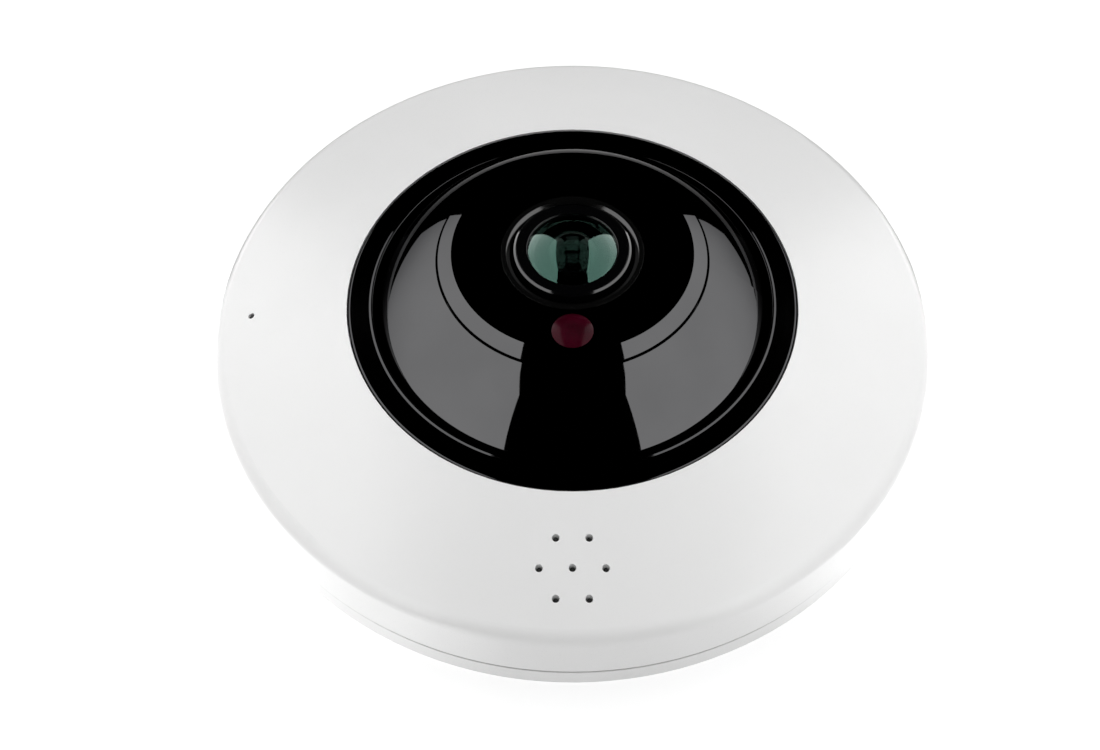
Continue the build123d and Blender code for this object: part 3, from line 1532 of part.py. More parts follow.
with BuildPart() as speaker_lead:
    add(sound_lead(speaker_angle, speaker_circle, speaker_back, speaker_lead_start, speaker_connector_edge))
speaker_lead.part.label = "speaker_lead"
export_step(speaker_lead.part, "parts/speaker_lead.step")

# Microphone: capsule in a rubber boot, in the shell's small collar
microphone_seat = shell_wall + glue_gap
microphone_plane = crown_plane(microphone_circle, microphone_angle, microphone_seat)
boot_back = -(boot_face + capsule_depth)
with BuildPart() as microphone_boot:
    add(
        turned(
            (microphone_hole_radius, 0),
            (boot_radius, 0),
            (boot_radius, boot_back),
            (capsule_radius, boot_back),
            (capsule_radius, -boot_face),
            (microphone_hole_radius, -boot_face),
            on=microphone_plane,
        )
    )
microphone_boot.part.label = "microphone_boot"
export_step(microphone_boot.part, "parts/microphone_boot.step")

with BuildPart() as microphone:
    with BuildSketch(microphone_plane.offset(-boot_face)):
        Circle(capsule_radius - running_gap)
    extrude(amount=-capsule_depth)
microphone.part.label = "microphone"
export_step(microphone.part, "parts/microphone.step")

with BuildPart() as microphone_lead:
    add(
        sound_lead(
            microphone_angle,
            microphone_circle,
            microphone_back,
            microphone_lead_start,
            microphone_connector_edge,
        )
    )
microphone_lead.part.label = "microphone_lead"
export_step(microphone_lead.part, "parts/microphone_lead.step")

# Power inlet: flat five-pin socket in the wall, hollow in front with a contact tongue
inlet_plane = wall_plane(inlet_angle, inlet_front, inlet_middle)
with BuildPart() as power_inlet:
    with BuildSketch(inlet_plane):
        Rectangle(inlet_width, inlet_height)
    extrude(amount=-inlet_depth)
    with BuildSketch(inlet_plane):
        Rectangle(inlet_width - 2 * inlet_shell, inlet_height - 2 * inlet_shell)
    extrude(amount=-inlet_mouth_depth, mode=Mode.SUBTRACT)
    with BuildSketch(inlet_plane.offset(-inlet_depth)):
        Rectangle(inlet_tongue_width, inlet_shell)
    extrude(amount=inlet_mouth_depth)
power_inlet.part.label = "power_inlet"
export_step(power_inlet.part, "parts/power_inlet.step")

# Memory card socket, behind the slot and its thumb notch
card_plane = wall_plane(card_angle, card_front, card_slot_middle)
with BuildPart() as card_socket:
    with BuildSketch(card_plane):
        Rectangle(card_socket_width, card_socket_height)
    extrude(amount=-card_socket_depth)
    with BuildSketch(card_plane):
        Rectangle(card_slot_width, card_slot_height)
    extrude(amount=-card_slot_depth, mode=Mode.SUBTRACT)
card_socket.part.label = "card_socket"
export_step(card_socket.part, "parts/card_socket.step")

# Reset button: pin in the wall with a flange behind it, over the plunger of the reset switch
with BuildPart() as reset_button:
    flange_plane = wall_plane(reset_angle, reset_flange_front, reset_middle)
    with BuildSketch(flange_plane):
        Circle(reset_flange_radius)
    extrude(amount=-reset_flange_thickness)
    with BuildSketch(flange_plane):
        Circle(reset_radius)
    extrude(amount=reset_front - reset_flange_front)
reset_button.part.label = "reset_button"
export_step(reset_button.part, "parts/reset_button.step")

with BuildPart() as reset_switch:
    with BuildSketch(wall_plane(reset_angle, switch_front, board_top + switch_height / 2)):
        Rectangle(switch_width, switch_height)
    extrude(amount=-switch_depth)
    with BuildSketch(wall_plane(reset_angle, switch_front, reset_middle)):
        Circle(plunger_radius)
    extrude(amount=plunger_length)
reset_switch.part.label = "reset_switch"
export_step(reset_switch.part, "parts/reset_switch.step")
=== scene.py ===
import bpy
import numpy as np
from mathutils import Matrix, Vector


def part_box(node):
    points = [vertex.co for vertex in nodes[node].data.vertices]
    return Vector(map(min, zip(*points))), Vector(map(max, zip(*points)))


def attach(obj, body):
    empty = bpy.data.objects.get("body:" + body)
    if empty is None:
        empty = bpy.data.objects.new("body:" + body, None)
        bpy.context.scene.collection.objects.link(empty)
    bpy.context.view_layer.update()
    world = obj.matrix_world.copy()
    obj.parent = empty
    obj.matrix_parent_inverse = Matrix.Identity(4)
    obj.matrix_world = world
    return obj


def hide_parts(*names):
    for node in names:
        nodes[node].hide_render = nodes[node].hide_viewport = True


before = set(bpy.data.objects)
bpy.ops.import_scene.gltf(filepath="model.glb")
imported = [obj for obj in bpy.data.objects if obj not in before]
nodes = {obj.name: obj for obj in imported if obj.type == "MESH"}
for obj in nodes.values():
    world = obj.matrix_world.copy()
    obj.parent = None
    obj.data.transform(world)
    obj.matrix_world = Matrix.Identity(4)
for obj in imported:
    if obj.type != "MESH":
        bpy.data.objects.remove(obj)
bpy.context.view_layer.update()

# Studio: a pale floor, two tall soft boxes left and right with pale cards on the floor under them, which
# show as grey shapes in the black dome, and broad lights from above and all round.
scene = bpy.context.scene
scene.view_settings.view_transform = "Standard"


def add(tree, kind, inputs=None, **settings):
    """A shader node with its settings, its sockets set to a value or linked to another node's output."""
    node = tree.nodes.new("ShaderNode" + kind)
    for key, value in settings.items():
        setattr(node, key, value)
    for key, value in (inputs or {}).items():
        if isinstance(value, bpy.types.NodeSocket):
            tree.links.new(value, node.inputs[key])
        else:
            node.inputs[key].default_value = value
    return node


def new_finish(name, **own):
    """A new material: itself, its tree, its main shader with its own even values, and object coordinates."""
    made = bpy.data.materials.new(name)
    made.use_nodes = True
    tree = made.node_tree
    shader = tree.nodes["Principled BSDF"]
    for key, value in own.items():
        shader.inputs[key.replace("_", " ")].default_value = value
    return made, tree, shader, add(tree, "TexCoord").outputs["Object"]


def ramp_of(tree, value, *stops):
    """Colours or greys laid along a value from 0 to 1."""
    ramp = add(tree, "ValToRGB", {"Fac": value})
    elements = ramp.color_ramp.elements
    while len(elements) < len(stops):
        elements.new(0.5)
    for element, (position, colour) in zip(elements, stops):
        element.position = position
        element.color = (*colour, 1.0)
    return ramp.outputs["Color"]


def surfaced(
    name, colour, rough, cloud=40.0, drift=0.04, grain=5000.0, spread=0.15, relief=4e-6, stretch=None, **own
):
    """A moulded, cast or drawn finish. Its colour drifts in soft clouds of size 1 / cloud, and a fine grain
    of size 1 / grain varies its gloss by spread and its height by relief. Stretch draws both out."""
    made, tree, shader, place = new_finish(name, **own)
    if stretch:
        place = add(tree, "Mapping", {"Vector": place, "Scale": stretch}).outputs["Vector"]
    clouds = add(tree, "TexNoise", {"Vector": place, "Scale": cloud, "Detail": 3.0}).outputs["Fac"]
    deep = [part * (1 - drift) for part in colour]
    pale = [min(1.0, part * (1 + drift)) for part in colour]
    tree.links.new(ramp_of(tree, clouds, (0.35, deep), (0.65, pale)), shader.inputs["Base Color"])
    fine = add(tree, "TexNoise", {"Vector": place, "Scale": grain, "Detail": 2.0}).outputs["Fac"]
    glossiest, dullest = rough * (1 - spread), min(1.0, rough * (1 + spread))
    range_of_gloss = {"Value": fine, "From Min": 0.3, "From Max": 0.7, "To Min": glossiest, "To Max": dullest}
    tree.links.new(add(tree, "MapRange", range_of_gloss).outputs["Result"], shader.inputs["Roughness"])
    bump = add(tree, "Bump", {"Height": fine, "Distance": relief})
    tree.links.new(bump.outputs["Normal"], shader.inputs["Normal"])
    return made


def new_piece(name, points, faces, finish, normals=None):
    """A piece from arrays of points in metres and faces. Its shading follows the normals, or else its own
    faces, with edges over 35 degrees kept sharp."""
    data = bpy.data.meshes.new(name)
    data.from_pydata(np.asarray(points).tolist(), [], faces)
    data.polygons.foreach_set("use_smooth", np.ones(len(data.polygons), bool))
    if normals is None:
        data.set_sharp_from_angle(angle=np.radians(35.0))
    else:
        data.normals_split_custom_set_from_vertices(normals.tolist())
    data.materials.append(finish)
    data.update()
    made = bpy.data.objects.new(name, data)
    scene.collection.objects.link(made)
    return made


def card(name, corners, finish):
    """A flat stage panel through these corners."""
    panel = new_piece(name, np.array(corners, float), [list(range(len(corners)))], finish)
    return panel


def glowing_card(name, corners, strength, tones=None):
    """A flat glowing panel that shows only in glossy surfaces. Its tones may vary along X."""
    made, tree, shader, place = new_finish(name)
    glow = add(tree, "Emission", {"Color": (1.0, 1.0, 1.0, 1.0), "Strength": strength})
    if tones:
        end = corners[1][0]
        along = add(tree, "SeparateXYZ", {"Vector": place}).outputs["X"]
        share = add(tree, "MapRange", {"Value": along, "From Min": -end, "From Max": end}).outputs["Result"]
        stops = [((x + end) / (2 * end), (tone, tone, tone)) for x, tone in tones]
        tree.links.new(ramp_of(tree, share, *stops), glow.inputs["Color"])
    tree.links.new(glow.outputs["Emission"], tree.nodes["Material Output"].inputs["Surface"])
    tree.nodes.remove(shader)
    panel = card(name, corners, made)
    panel.visible_camera = False
    panel.visible_diffuse = False
    panel.visible_shadow = False


def soft_light(name, place, target, width, power):
    """A square soft light aimed at a point, not seen in gloss."""
    data = bpy.data.lights.new(name, "AREA")
    data.size = width
    data.energy = power
    made = bpy.data.objects.new(name, data)
    made.location = place
    made.rotation_euler = (Vector(target) - Vector(place)).to_track_quat("-Z", "Y").to_euler()
    made.visible_glossy = False
    made.visible_camera = False
    scene.collection.objects.link(made)


floor_white = surfaced(
    "floor_white", (0.36, 0.36, 0.36), 0.7, cloud=3.0, drift=0.01, grain=400.0, relief=1e-5
)
floor_shader = floor_white.node_tree.nodes["Principled BSDF"]
floor_shader.inputs["Emission Color"].default_value = (1.0, 1.0, 1.0, 1.0)
floor_shader.inputs["Emission Strength"].default_value = 0.72
floor_shader.inputs["Specular IOR Level"].default_value = 0.2
floor = card("floor", [(-3, -3, 0), (3, -3, 0), (3, 3, 0), (-3, 3, 0)], floor_white)
floor.visible_glossy = False

box_outline = ((-0.80, 0.0), (0.75, 0.0), (0.75, 1.0), (-0.43, 1.0), (-0.79, 0.60))
low_outline = ((0.11, -0.15), (0.5, -0.8), (0.5, 0.75), (0.11, 0.12))
box_distance, box_strength = 0.5, 3.2
for word, side in (("left", -1), ("right", 1)):
    glowing_card(word + "_soft_box", [(side * box_distance, y, z) for y, z in box_outline], box_strength)
    glowing_card(word + "_floor_card", [(side * x, y, 0.0005) for x, y in low_outline], box_strength)
near_outline = [(x, y, 0.0003) for x, y in ((-0.11, -0.12), (0.11, -0.12), (0.11, 0.03), (-0.11, 0.03))]
left_tones = ((-0.06, 1.0), (-0.036, 0.82), (-0.012, 0.17))
right_tones = ((0.012, 0.09), (0.036, 0.32), (0.055, 0.85), (0.075, 1.0))
glowing_card("near_card", near_outline, 3.0, left_tones + right_tones)

soft_light("top_light", (0.0, 0.55, 1.5), (0, 0, 0), 1.4, 18.6)
soft_light("front_light", (0.0, -1.0, 1.4), (0, 0, 0.02), 1.2, 7.3)
soft_light("back_light", (0.0, 1.3, 1.2), (0, 0, 0.02), 1.2, 6.0)
soft_light("left_light", (-0.9, -0.8, 0.58), (0, 0, 0.015), 0.8, 1.9)
soft_light("right_light", (0.9, -0.8, 0.58), (0, 0, 0.015), 0.8, 2.4)
world = bpy.data.worlds.new("studio")
world.use_nodes = True
world.node_tree.nodes["Background"].inputs["Color"].default_value = (0.0, 0.0, 0.0, 1.0)
scene.world = world

camera = bpy.data.objects.new("camera", bpy.data.cameras.new("camera"))
camera.location = (0.0, -0.34741, 0.48918)
camera.rotation_euler = (Vector((0, 0, 0)) - camera.location).to_track_quat("-Z", "Y").to_euler()
camera.data.sensor_width = 36.0
camera.data.lens = 98.06
camera.data.shift_x = -0.020454
camera.data.shift_y = 0.006
scene.collection.objects.link(camera)
scene.camera = camera

# Mounting plate: a moulded white plastic disc that is screwed to the ceiling. Its face is a fine matt
# texture, and ribs and bosses stiffen it from behind.


def dress(finish, *names):
    """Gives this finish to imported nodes."""
    for name in names:
        nodes[name].data.materials.clear()
        nodes[name].data.materials.append(finish)


plate_white = surfaced("plate_white", (0.78, 0.785, 0.78), 0.5, grain=6000.0, relief=6e-6, drift=0.015)
dress(plate_white, "mounting_plate")

# Rear housing: white moulded tray with a fine spark-eroded texture. Its colour is painted grey in the groove
# where the shell meets it, as painted shade. Four zinc-plated pan head screws with a cross recess are driven
# up into the shell.
white_moulding = {"colour": (0.81, 0.81, 0.808), "rough": 0.3, "grain": 7000.0, "spread": 0.1, "relief": 3e-6}
housing_white = surfaced("housing_white", drift=0.01, **white_moulding)
housing_tree = housing_white.node_tree
housing_colour = housing_tree.nodes["Principled BSDF"].inputs["Base Color"]
housing_place = housing_tree.nodes["Texture Coordinate"].outputs["Object"]
# Painted shade: between 4.0 and 4.6 mm height the plastic colour turns grey, shading the groove under the
# shell.
level = add(housing_tree, "SeparateXYZ", {"Vector": housing_place}).outputs["Z"]
groove = add(housing_tree, "MapRange", {"Value": level, "From Min": 0.0040, "From Max": 0.0046})
plastic, painted_groove_shade = housing_colour.links[0].from_socket, (0.42, 0.42, 0.415, 1.0)
groove_shade_mix = {"Factor": groove.outputs["Result"], "A": plastic, "B": painted_groove_shade}
housing_tree.links.new(add(housing_tree, "Mix", groove_shade_mix, data_type="RGBA").outputs["Result"], housing_colour)
dress(housing_white, "rear_housing")
steel = surfaced("steel", (0.62, 0.61, 0.59), 0.3, grain=3000.0, Metallic=1.0)
MM = 0.001


def skin(grid, looped=False):
    """Faces over a grid of points. The columns close round the axis. The rows close too if looped, and
    otherwise the first and last row are each one point on the axis, closed with a fan."""
    rows, columns = grid.shape[:2]
    here = np.arange(columns)
    beyond = (here + 1) % columns
    points = grid.reshape(-1, 3)
    low = np.arange(rows * columns).reshape(rows, columns)
    high = np.roll(low, -1, axis=0)
    if not looped:
        points = np.vstack([grid[1:-1].reshape(-1, 3), grid[0, :1], grid[-1, :1]])
        inner = low[:-2]
        low, high = inner[:-1], inner[1:]
    faces = np.stack([low[:, here], low[:, beyond], high[:, beyond], high[:, here]], axis=-1)
    faces = faces.reshape(-1, 4).tolist()
    if not looped:
        first, last = len(points) - 2, len(points) - 1
        faces += np.stack([np.full(columns, first), inner[0, beyond], inner[0, here]], axis=-1).tolist()
        faces += np.stack([np.full(columns, last), inner[-1, here], inner[-1, beyond]], axis=-1).tolist()
    return points, faces


def pan_screw(head, height, shank, length, pitch=0.8, columns=64):
    """Grid of a screw pointing down, in mm. Radius and height run along its outline from the tip to the
    middle of the head; the thread's ridge follows height / pitch + turn, and a cross is sunk in the dome."""
    turn = np.linspace(0, 2 * np.pi, columns, endpoint=False)[None, :]
    thread_depth, point_length, thread_end = 0.14 * shank + 0.06, 1.2 * shank, -0.25
    along = np.linspace(-length, thread_end, 90)[:, None]
    saw = np.abs(((along / pitch + turn / (2 * np.pi)) % 1.0) - 0.5) * 2
    point = np.clip((along + length) / point_length, 0.12, 1.0)
    shaft = (shank - thread_depth * (1 - saw)) * point
    share = np.linspace(1, 0, 22)[:, None] ** 0.9
    reach = share * head
    x, y = reach * np.cos(turn), reach * np.sin(turn)
    near, far = np.minimum(abs(x), abs(y)), np.maximum(abs(x), abs(y))
    cross_half, cross_reach, cross_wall, cross_depth = 0.17 * head, 0.58 * head, 0.05 * head, 0.6 * height
    cross = np.clip((cross_half - near) / cross_wall, 0, 1) * np.clip((cross_reach - far) / cross_wall, 0, 1)
    crown = height * (1 - 0.45 * share**4) - cross_depth * cross
    even = np.ones_like(turn)
    radius = np.vstack([0 * even, shaft, shank * even, (head - 0.1) * even, head * even, reach * even])
    level = np.vstack([-length * even, along * even, 0 * even, 0 * even, 0.1 * even, crown * even])
    return radius, level, turn


def screw_set(name, places, up, body, **sizes):
    """All screws of one node: the same screw set at each place, head up or, where up is -1, head down."""
    radius, level, turn = pan_screw(**sizes)
    screw = np.stack([radius * np.cos(turn), up * radius * np.sin(turn), up * level], axis=-1)
    points, faces = skin(screw)
    all_points = ((points + np.array(places)[:, None]) * MM).reshape(-1, 3)
    starts = range(0, len(all_points), len(points))
    all_faces = [[corner + start for corner in face] for start in starts for face in faces]
    piece = new_piece(name + "_threaded", all_points, all_faces, steel)
    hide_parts(name)
    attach(piece, body)


def ring_places(circle, angles, height):
    """Points at this distance from the axis, at these angles in degrees."""
    return [(circle * np.cos(np.radians(a)), circle * np.sin(np.radians(a)), height) for a in angles]


corners = (45, 135, 225, 315)
case_screw = {"head": 2.5, "height": 1.8, "shank": 1.25, "length": 9.0}
screw_set("case_screws", ring_places(60.0, corners, 3.4), -1, "camera_body", **case_screw)

# Main board: green lacquered glass fibre, on four screws in the housing. Copper tracks run under the
# lacquer, and tinned pads show through it. Resin chips, a shielded radio and wound power parts are soldered
# to it, and the chip that runs hot carries a rubber pad and a drawn aluminium heat sink.


def board_finish(name):
    """Lacquered board: bands of two crossing waves are tracks, and the centres of small cells are pads."""
    made, tree, shader, place = new_finish(name, Coat_Weight=0.3)
    runs = []
    for direction, scale in (("X", 260.0), ("Y", 210.0)):
        bands = {"Vector": place, "Scale": scale, "Distortion": 3.0, "Detail": 0.0, "Detail Scale": 0.6}
        wave = add(tree, "TexWave", bands, bands_direction=direction)
        runs.append(ramp_of(tree, wave.outputs["Fac"], (0.80, (0, 0, 0)), (0.86, (1, 1, 1))))
    patches = add(tree, "TexNoise", {"Vector": place, "Scale": 90.0, "Detail": 0.0}).outputs["Fac"]
    choice = ramp_of(tree, patches, (0.48, (0, 0, 0)), (0.50, (1, 1, 1)))
    crossing = {"Factor": choice, "A": runs[0], "B": runs[1]}
    tracks = add(tree, "Mix", crossing, data_type="RGBA").outputs["Result"]
    lacquer = {"Factor": tracks, "A": (0.008, 0.07, 0.03, 1), "B": (0.02, 0.16, 0.06, 1)}
    green = add(tree, "Mix", lacquer, data_type="RGBA").outputs["Result"]
    cells = add(tree, "TexVoronoi", {"Vector": place, "Scale": 330.0, "Randomness": 0.85})
    pads = ramp_of(tree, cells.outputs["Distance"], (0.11, (1, 1, 1)), (0.13, (0, 0, 0)))
    tinned = add(tree, "Mix", {"Factor": pads, "A": green, "B": (0.60, 0.58, 0.50, 1)}, data_type="RGBA")
    tree.links.new(tinned.outputs["Result"], shader.inputs["Base Color"])
    tree.links.new(pads, shader.inputs["Metallic"])
    gloss = add(tree, "MapRange", {"Value": patches, "To Min": 0.25, "To Max": 0.45})
    tree.links.new(gloss.outputs["Result"], shader.inputs["Roughness"])
    bump = add(tree, "Bump", {"Height": tracks, "Distance": 3e-5, "Strength": 0.6})
    tree.links.new(bump.outputs["Normal"], shader.inputs["Normal"])
    return made


board_green = board_finish("board_green")
dress(board_green, "main_board", "antenna")
chip_black = surfaced(
    "chip_black", (0.022, 0.022, 0.023), 0.55, cloud=300.0, drift=0.15, grain=9000.0, relief=1e-5
)
dress(chip_black, "main_processor", "memory_chips")
tinned_can = surfaced(
    "tinned_can", (0.66, 0.65, 0.62), 0.26, cloud=150.0, drift=0.08, grain=2500.0, Metallic=1.0
)
dress(tinned_can, "radio_module")
power_grey = surfaced(
    "power_grey", (0.10, 0.10, 0.105), 0.45, cloud=500.0, drift=0.2, grain=6000.0, relief=1.5e-5
)
dress(power_grey, "power_parts")
connector_cream = surfaced("connector_cream", (0.72, 0.66, 0.50), 0.5, grain=6000.0, relief=5e-6)
dress(connector_cream, "board_connectors")
pad_grey = surfaced("pad_grey", (0.36, 0.38, 0.42), 0.8, cloud=700.0, drift=0.15, grain=3500.0, relief=3e-5)
dress(pad_grey, "thermal_pad")
drawn_along_x = {"stretch": (1.0, 0.08, 0.08), "grain": 2600.0, "relief": 8e-6}
sink_metal = surfaced("sink_metal", (0.55, 0.56, 0.58), 0.38, Metallic=1.0, **drawn_along_x)
dress(sink_metal, "heat_sink")
board_screw = {"head": 1.9, "height": 1.3, "shank": 1.0, "pitch": 0.5}
screw_set("board_screws", ring_places(46.0, corners, 10.2), 1, "camera_body", length=4.2, **board_screw)

# Leads: flat white ribbon cables to the sensor and lamp boards, and black jacketed leads to the antenna, the
# speaker and the microphone. Each is pressed flat against what it crosses and ends in a board connector.
lead_white = surfaced(
    "lead_white", (0.70, 0.70, 0.67), 0.42, grain=2200.0, relief=2e-5, stretch=(1.0, 1.0, 0.15)
)
dress(lead_white, "sensor_ribbon", "lamp_lead")
lead_black = surfaced("lead_black", (0.02, 0.02, 0.02), 0.45, grain=3000.0, relief=1e-5)
dress(lead_black, "antenna_lead", "speaker_lead", "microphone_lead")

# Inner chassis: dark grey moulded tube with windows, whose lugs hold the sensor board and the lamp board.
# Three screws go down through its feet and the main board.
chassis_grey = surfaced(
    "chassis_grey", (0.10, 0.10, 0.108), 0.52, cloud=80.0, drift=0.1, grain=5000.0, relief=1e-5
)
dress(chassis_grey, "inner_chassis")
feet = (90, 210, 330)
screw_set("chassis_screws", ring_places(32.8601, feet, 12.2), 1, "camera_body", length=6.2, **board_screw)

# Image sensor: a bare die under clear glass in a black package, with gold bond pads in a frame round it.
# It is soldered to a green board that four screws hold on the chassis.
die_finish, tree, shader, place = new_finish("sensor_die", Coat_Weight=1.0, Coat_Roughness=0.02)
apart = add(tree, "SeparateXYZ", {"Vector": place})
wide = add(tree, "Math", {0: apart.outputs["X"]}, operation="ABSOLUTE").outputs[0]
tall = add(tree, "Math", {0: apart.outputs["Y"]}, operation="ABSOLUTE").outputs[0]
as_wide = add(tree, "Math", {0: tall, 1: 1.25}, operation="MULTIPLY").outputs[0]
edge = add(tree, "Math", {0: wide, 1: as_wide}, operation="MAXIMUM").outputs[0]
zones = add(tree, "Math", {0: edge, 1: 250.0}, operation="MULTIPLY").outputs[0]
die_centre, die_edge = (0.0, (0.05, 0.04, 0.11)), (0.62, (0.03, 0.07, 0.10))
bond_gold, package_black = (0.64, (0.30, 0.21, 0.07)), (0.68, (0.03, 0.03, 0.03))
die_colour = ramp_of(tree, zones, die_centre, die_edge, bond_gold, package_black)
tree.links.new(die_colour, shader.inputs["Base Color"])
specks = add(tree, "TexNoise", {"Vector": place, "Scale": 3000.0}).outputs["Fac"]
shine = add(tree, "MapRange", {"Value": specks, "To Min": 0.15, "To Max": 0.35})
tree.links.new(shine.outputs["Result"], shader.inputs["Roughness"])
dress(die_finish, "image_sensor")
dress(board_green, "sensor_board")
sensor_board_holes = ring_places(21.96, corners, 21.2)
screw_set("sensor_board_screws", sensor_board_holes, 1, "camera_body", length=3.8, **board_screw)

# Filter changer: black moulded housing and carriage. The swinging magnet and its arm are nickel-plated,
# the yoke is soft iron, and the coil is enamelled copper wire wound round the yoke's back bar. The
# carriage holds a blue-green glass that stops infrared light and a clear one.
inner_black = surfaced("inner_black", (0.02, 0.02, 0.02), 0.6, grain=6000.0, relief=8e-6)
dress(inner_black, "filter_housing", "filter_carriage")
plated_iron = surfaced(
    "plated_iron", (0.42, 0.41, 0.39), 0.34, cloud=500.0, drift=0.12, grain=2500.0, Metallic=1.0
)
dress(plated_iron, "changer_rotor", "changer_yoke")


def coated_glass(name, coating, marks, detail, faintest, strongest, haze, **own):
    """Glass with a tinted coating. Its gloss dulls by up to haze where soft marks of size 1 / marks lie."""
    made, tree, shader, place = new_finish(name, Transmission_Weight=1.0, **own)
    shader.inputs["Specular Tint"].default_value = (*coating, 1.0)
    wiped = add(tree, "TexNoise", {"Vector": place, "Scale": marks, "Detail": detail}).outputs["Fac"]
    dulled = {"Value": wiped, "From Min": faintest, "From Max": strongest, "To Min": 0.0, "To Max": haze}
    tree.links.new(add(tree, "MapRange", dulled).outputs["Result"], shader.inputs["Roughness"])
    return made


filter_marks = {"marks": 2500.0, "detail": 2.0, "faintest": 0.5, "strongest": 0.9, "haze": 0.06}
filter_coating = (0.9, 0.45, 0.5)
for name, colour in (("infrared_filter", (0.32, 0.70, 0.66, 1.0)), ("clear_filter", (0.92, 0.97, 0.96, 1.0))):
    glass = coated_glass(name + "_glass", filter_coating, IOR=1.5, Base_Color=colour, **filter_marks)
    dress(glass, name)


def coil_grid(low, high, bore, wires, columns=72):
    """Winding along X in mm: each row is a box outline with round corners, and its size swells with
    |sin| once for each turn of wire. The last two rows close it through the bore."""
    wire = 0.09
    turn = np.linspace(0, 2 * np.pi, columns, endpoint=False)[None, :]
    middle, half = (low + high) / 2, (high - low) / 2
    corner = (np.abs(np.cos(turn)) ** 5 + np.abs(np.sin(turn)) ** 5) ** (-1 / 5)
    along = np.linspace(low[0], high[0], 10 * wires + 1)[:, None]
    ridge = wire * np.abs(np.sin(np.pi * wires * (along - low[0]) / (high[0] - low[0])))
    across_y = (half[1] - wire + ridge) * corner * np.cos(turn)
    across_z = (half[2] - wire + ridge) * corner * np.sin(turn)
    hole_y = bore[0] * corner * np.cos(turn) * np.ones((2, 1))
    hole_z = bore[1] * corner * np.sin(turn) * np.ones((2, 1))
    x = np.vstack([along * np.ones_like(turn), np.full((1, columns), high[0]), np.full((1, columns), low[0])])
    y = np.vstack([across_y, hole_y]) + middle[1]
    z = np.vstack([across_z, hole_z]) + middle[2]
    return np.stack([x, y, z], axis=-1)


copper_wire = {"cloud": 400.0, "drift": 0.12, "grain": 3000.0, "Metallic": 1.0, "Coat_Weight": 0.6}
copper = surfaced("enamelled_copper", (0.72, 0.30, 0.12), 0.28, **copper_wire)
coil_low, coil_high = (np.array(corner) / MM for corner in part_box("changer_coil"))
winding = coil_grid(coil_low, coil_high, bore=(0.9, 1.0), wires=16)
coil = new_piece("wound_coil", *skin(winding * MM, looped=True), copper)
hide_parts("changer_coil")
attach(coil, "camera_body")

# Lens: black anodised aluminium barrel turned on a lathe, screwed into its holder and held by a notched
# lock ring. A threaded ring clamps the bulging front glass, which is coated against reflections, and a
# bevelled black collar fills the lens deck's hole round the head.


def turned_finish(name, colour, rough, lines):
    """Anodised finish with tool marks: fine ridges that follow the distance from the axis and the height."""
    made, tree, shader, place = new_finish(name)
    parts = add(tree, "SeparateXYZ", {"Vector": place})
    level = add(tree, "CombineXYZ", {"X": parts.outputs["X"], "Y": parts.outputs["Y"]}).outputs[0]
    reach = add(tree, "VectorMath", {0: level}, operation="LENGTH").outputs["Value"]
    climb = add(tree, "Math", {0: reach, 1: parts.outputs["Z"]}, operation="ADD").outputs[0]
    beat = add(tree, "Math", {0: climb, 1: lines}, operation="MULTIPLY").outputs[0]
    wave = add(tree, "Math", {0: beat}, operation="SINE").outputs[0]
    fine = add(tree, "TexNoise", {"Vector": place, "Scale": 6000.0}).outputs["Fac"]
    height = add(tree, "Math", {0: wave, 1: fine}, operation="ADD").outputs[0]
    deep, pale = [part * 0.8 for part in colour], [part * 1.2 for part in colour]
    tree.links.new(ramp_of(tree, fine, (0.3, deep), (0.7, pale)), shader.inputs["Base Color"])
    glossiest, dullest = rough * 0.85, rough * 1.15
    range_of_gloss = {"Value": fine, "From Min": 0.3, "From Max": 0.7, "To Min": glossiest, "To Max": dullest}
    tree.links.new(add(tree, "MapRange", range_of_gloss).outputs["Result"], shader.inputs["Roughness"])
    bump = add(tree, "Bump", {"Height": height, "Distance": 1e-6})
    tree.links.new(bump.outputs["Normal"], shader.inputs["Normal"])
    return made


def rounded(corners, radii, steps=7):
    """Outline with each corner turned into an arc that meets both its runs: points and outward normals."""
    corners, radii = np.array(corners, float), np.array(radii, float)
    before = corners - np.roll(corners, 1, axis=0)
    after = np.roll(corners, -1, axis=0) - corners
    before /= np.linalg.norm(before, axis=1, keepdims=True)
    after /= np.linalg.norm(after, axis=1, keepdims=True)
    turn = np.arctan2(before[:, 0] * after[:, 1] - before[:, 1] * after[:, 0], (before * after).sum(axis=1))
    signed = (radii * np.sign(turn))[:, None]
    start = corners - before * (radii * np.tan(np.abs(turn) / 2))[:, None]
    centre = start + np.stack([-before[:, 1], before[:, 0]], axis=-1) * signed
    heading = np.arctan2(before[:, 1], before[:, 0])[:, None] + turn[:, None] * np.linspace(0, 1, steps + 1)
    left = np.stack([-np.sin(heading), np.cos(heading)], axis=-1)
    return (centre[:, None] - left * signed[..., None]).reshape(-1, 2), (-left).reshape(-1, 2)


def turned_ring(name, outline, finish, body, node, columns=256):
    """Ring turned about the axis from a closed outline in mm, given as ((radius, height), rounding) for each
    corner: (radius cos u, radius sin u, height)."""
    profile, slope = rounded(*zip(*outline))
    turn = np.linspace(0, 2 * np.pi, columns, endpoint=False)
    around = np.stack([np.cos(turn), np.sin(turn), np.zeros(columns)], axis=-1)
    upward = np.array((0.0, 0.0, 1.0))
    grid = profile[:, None, :1] * around + profile[:, None, 1:] * upward
    normals = slope[:, None, :1] * around + slope[:, None, 1:] * upward
    piece = new_piece(name, *skin(grid * MM, looped=True), finish, normals.reshape(-1, 3))
    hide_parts(node)
    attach(piece, body)


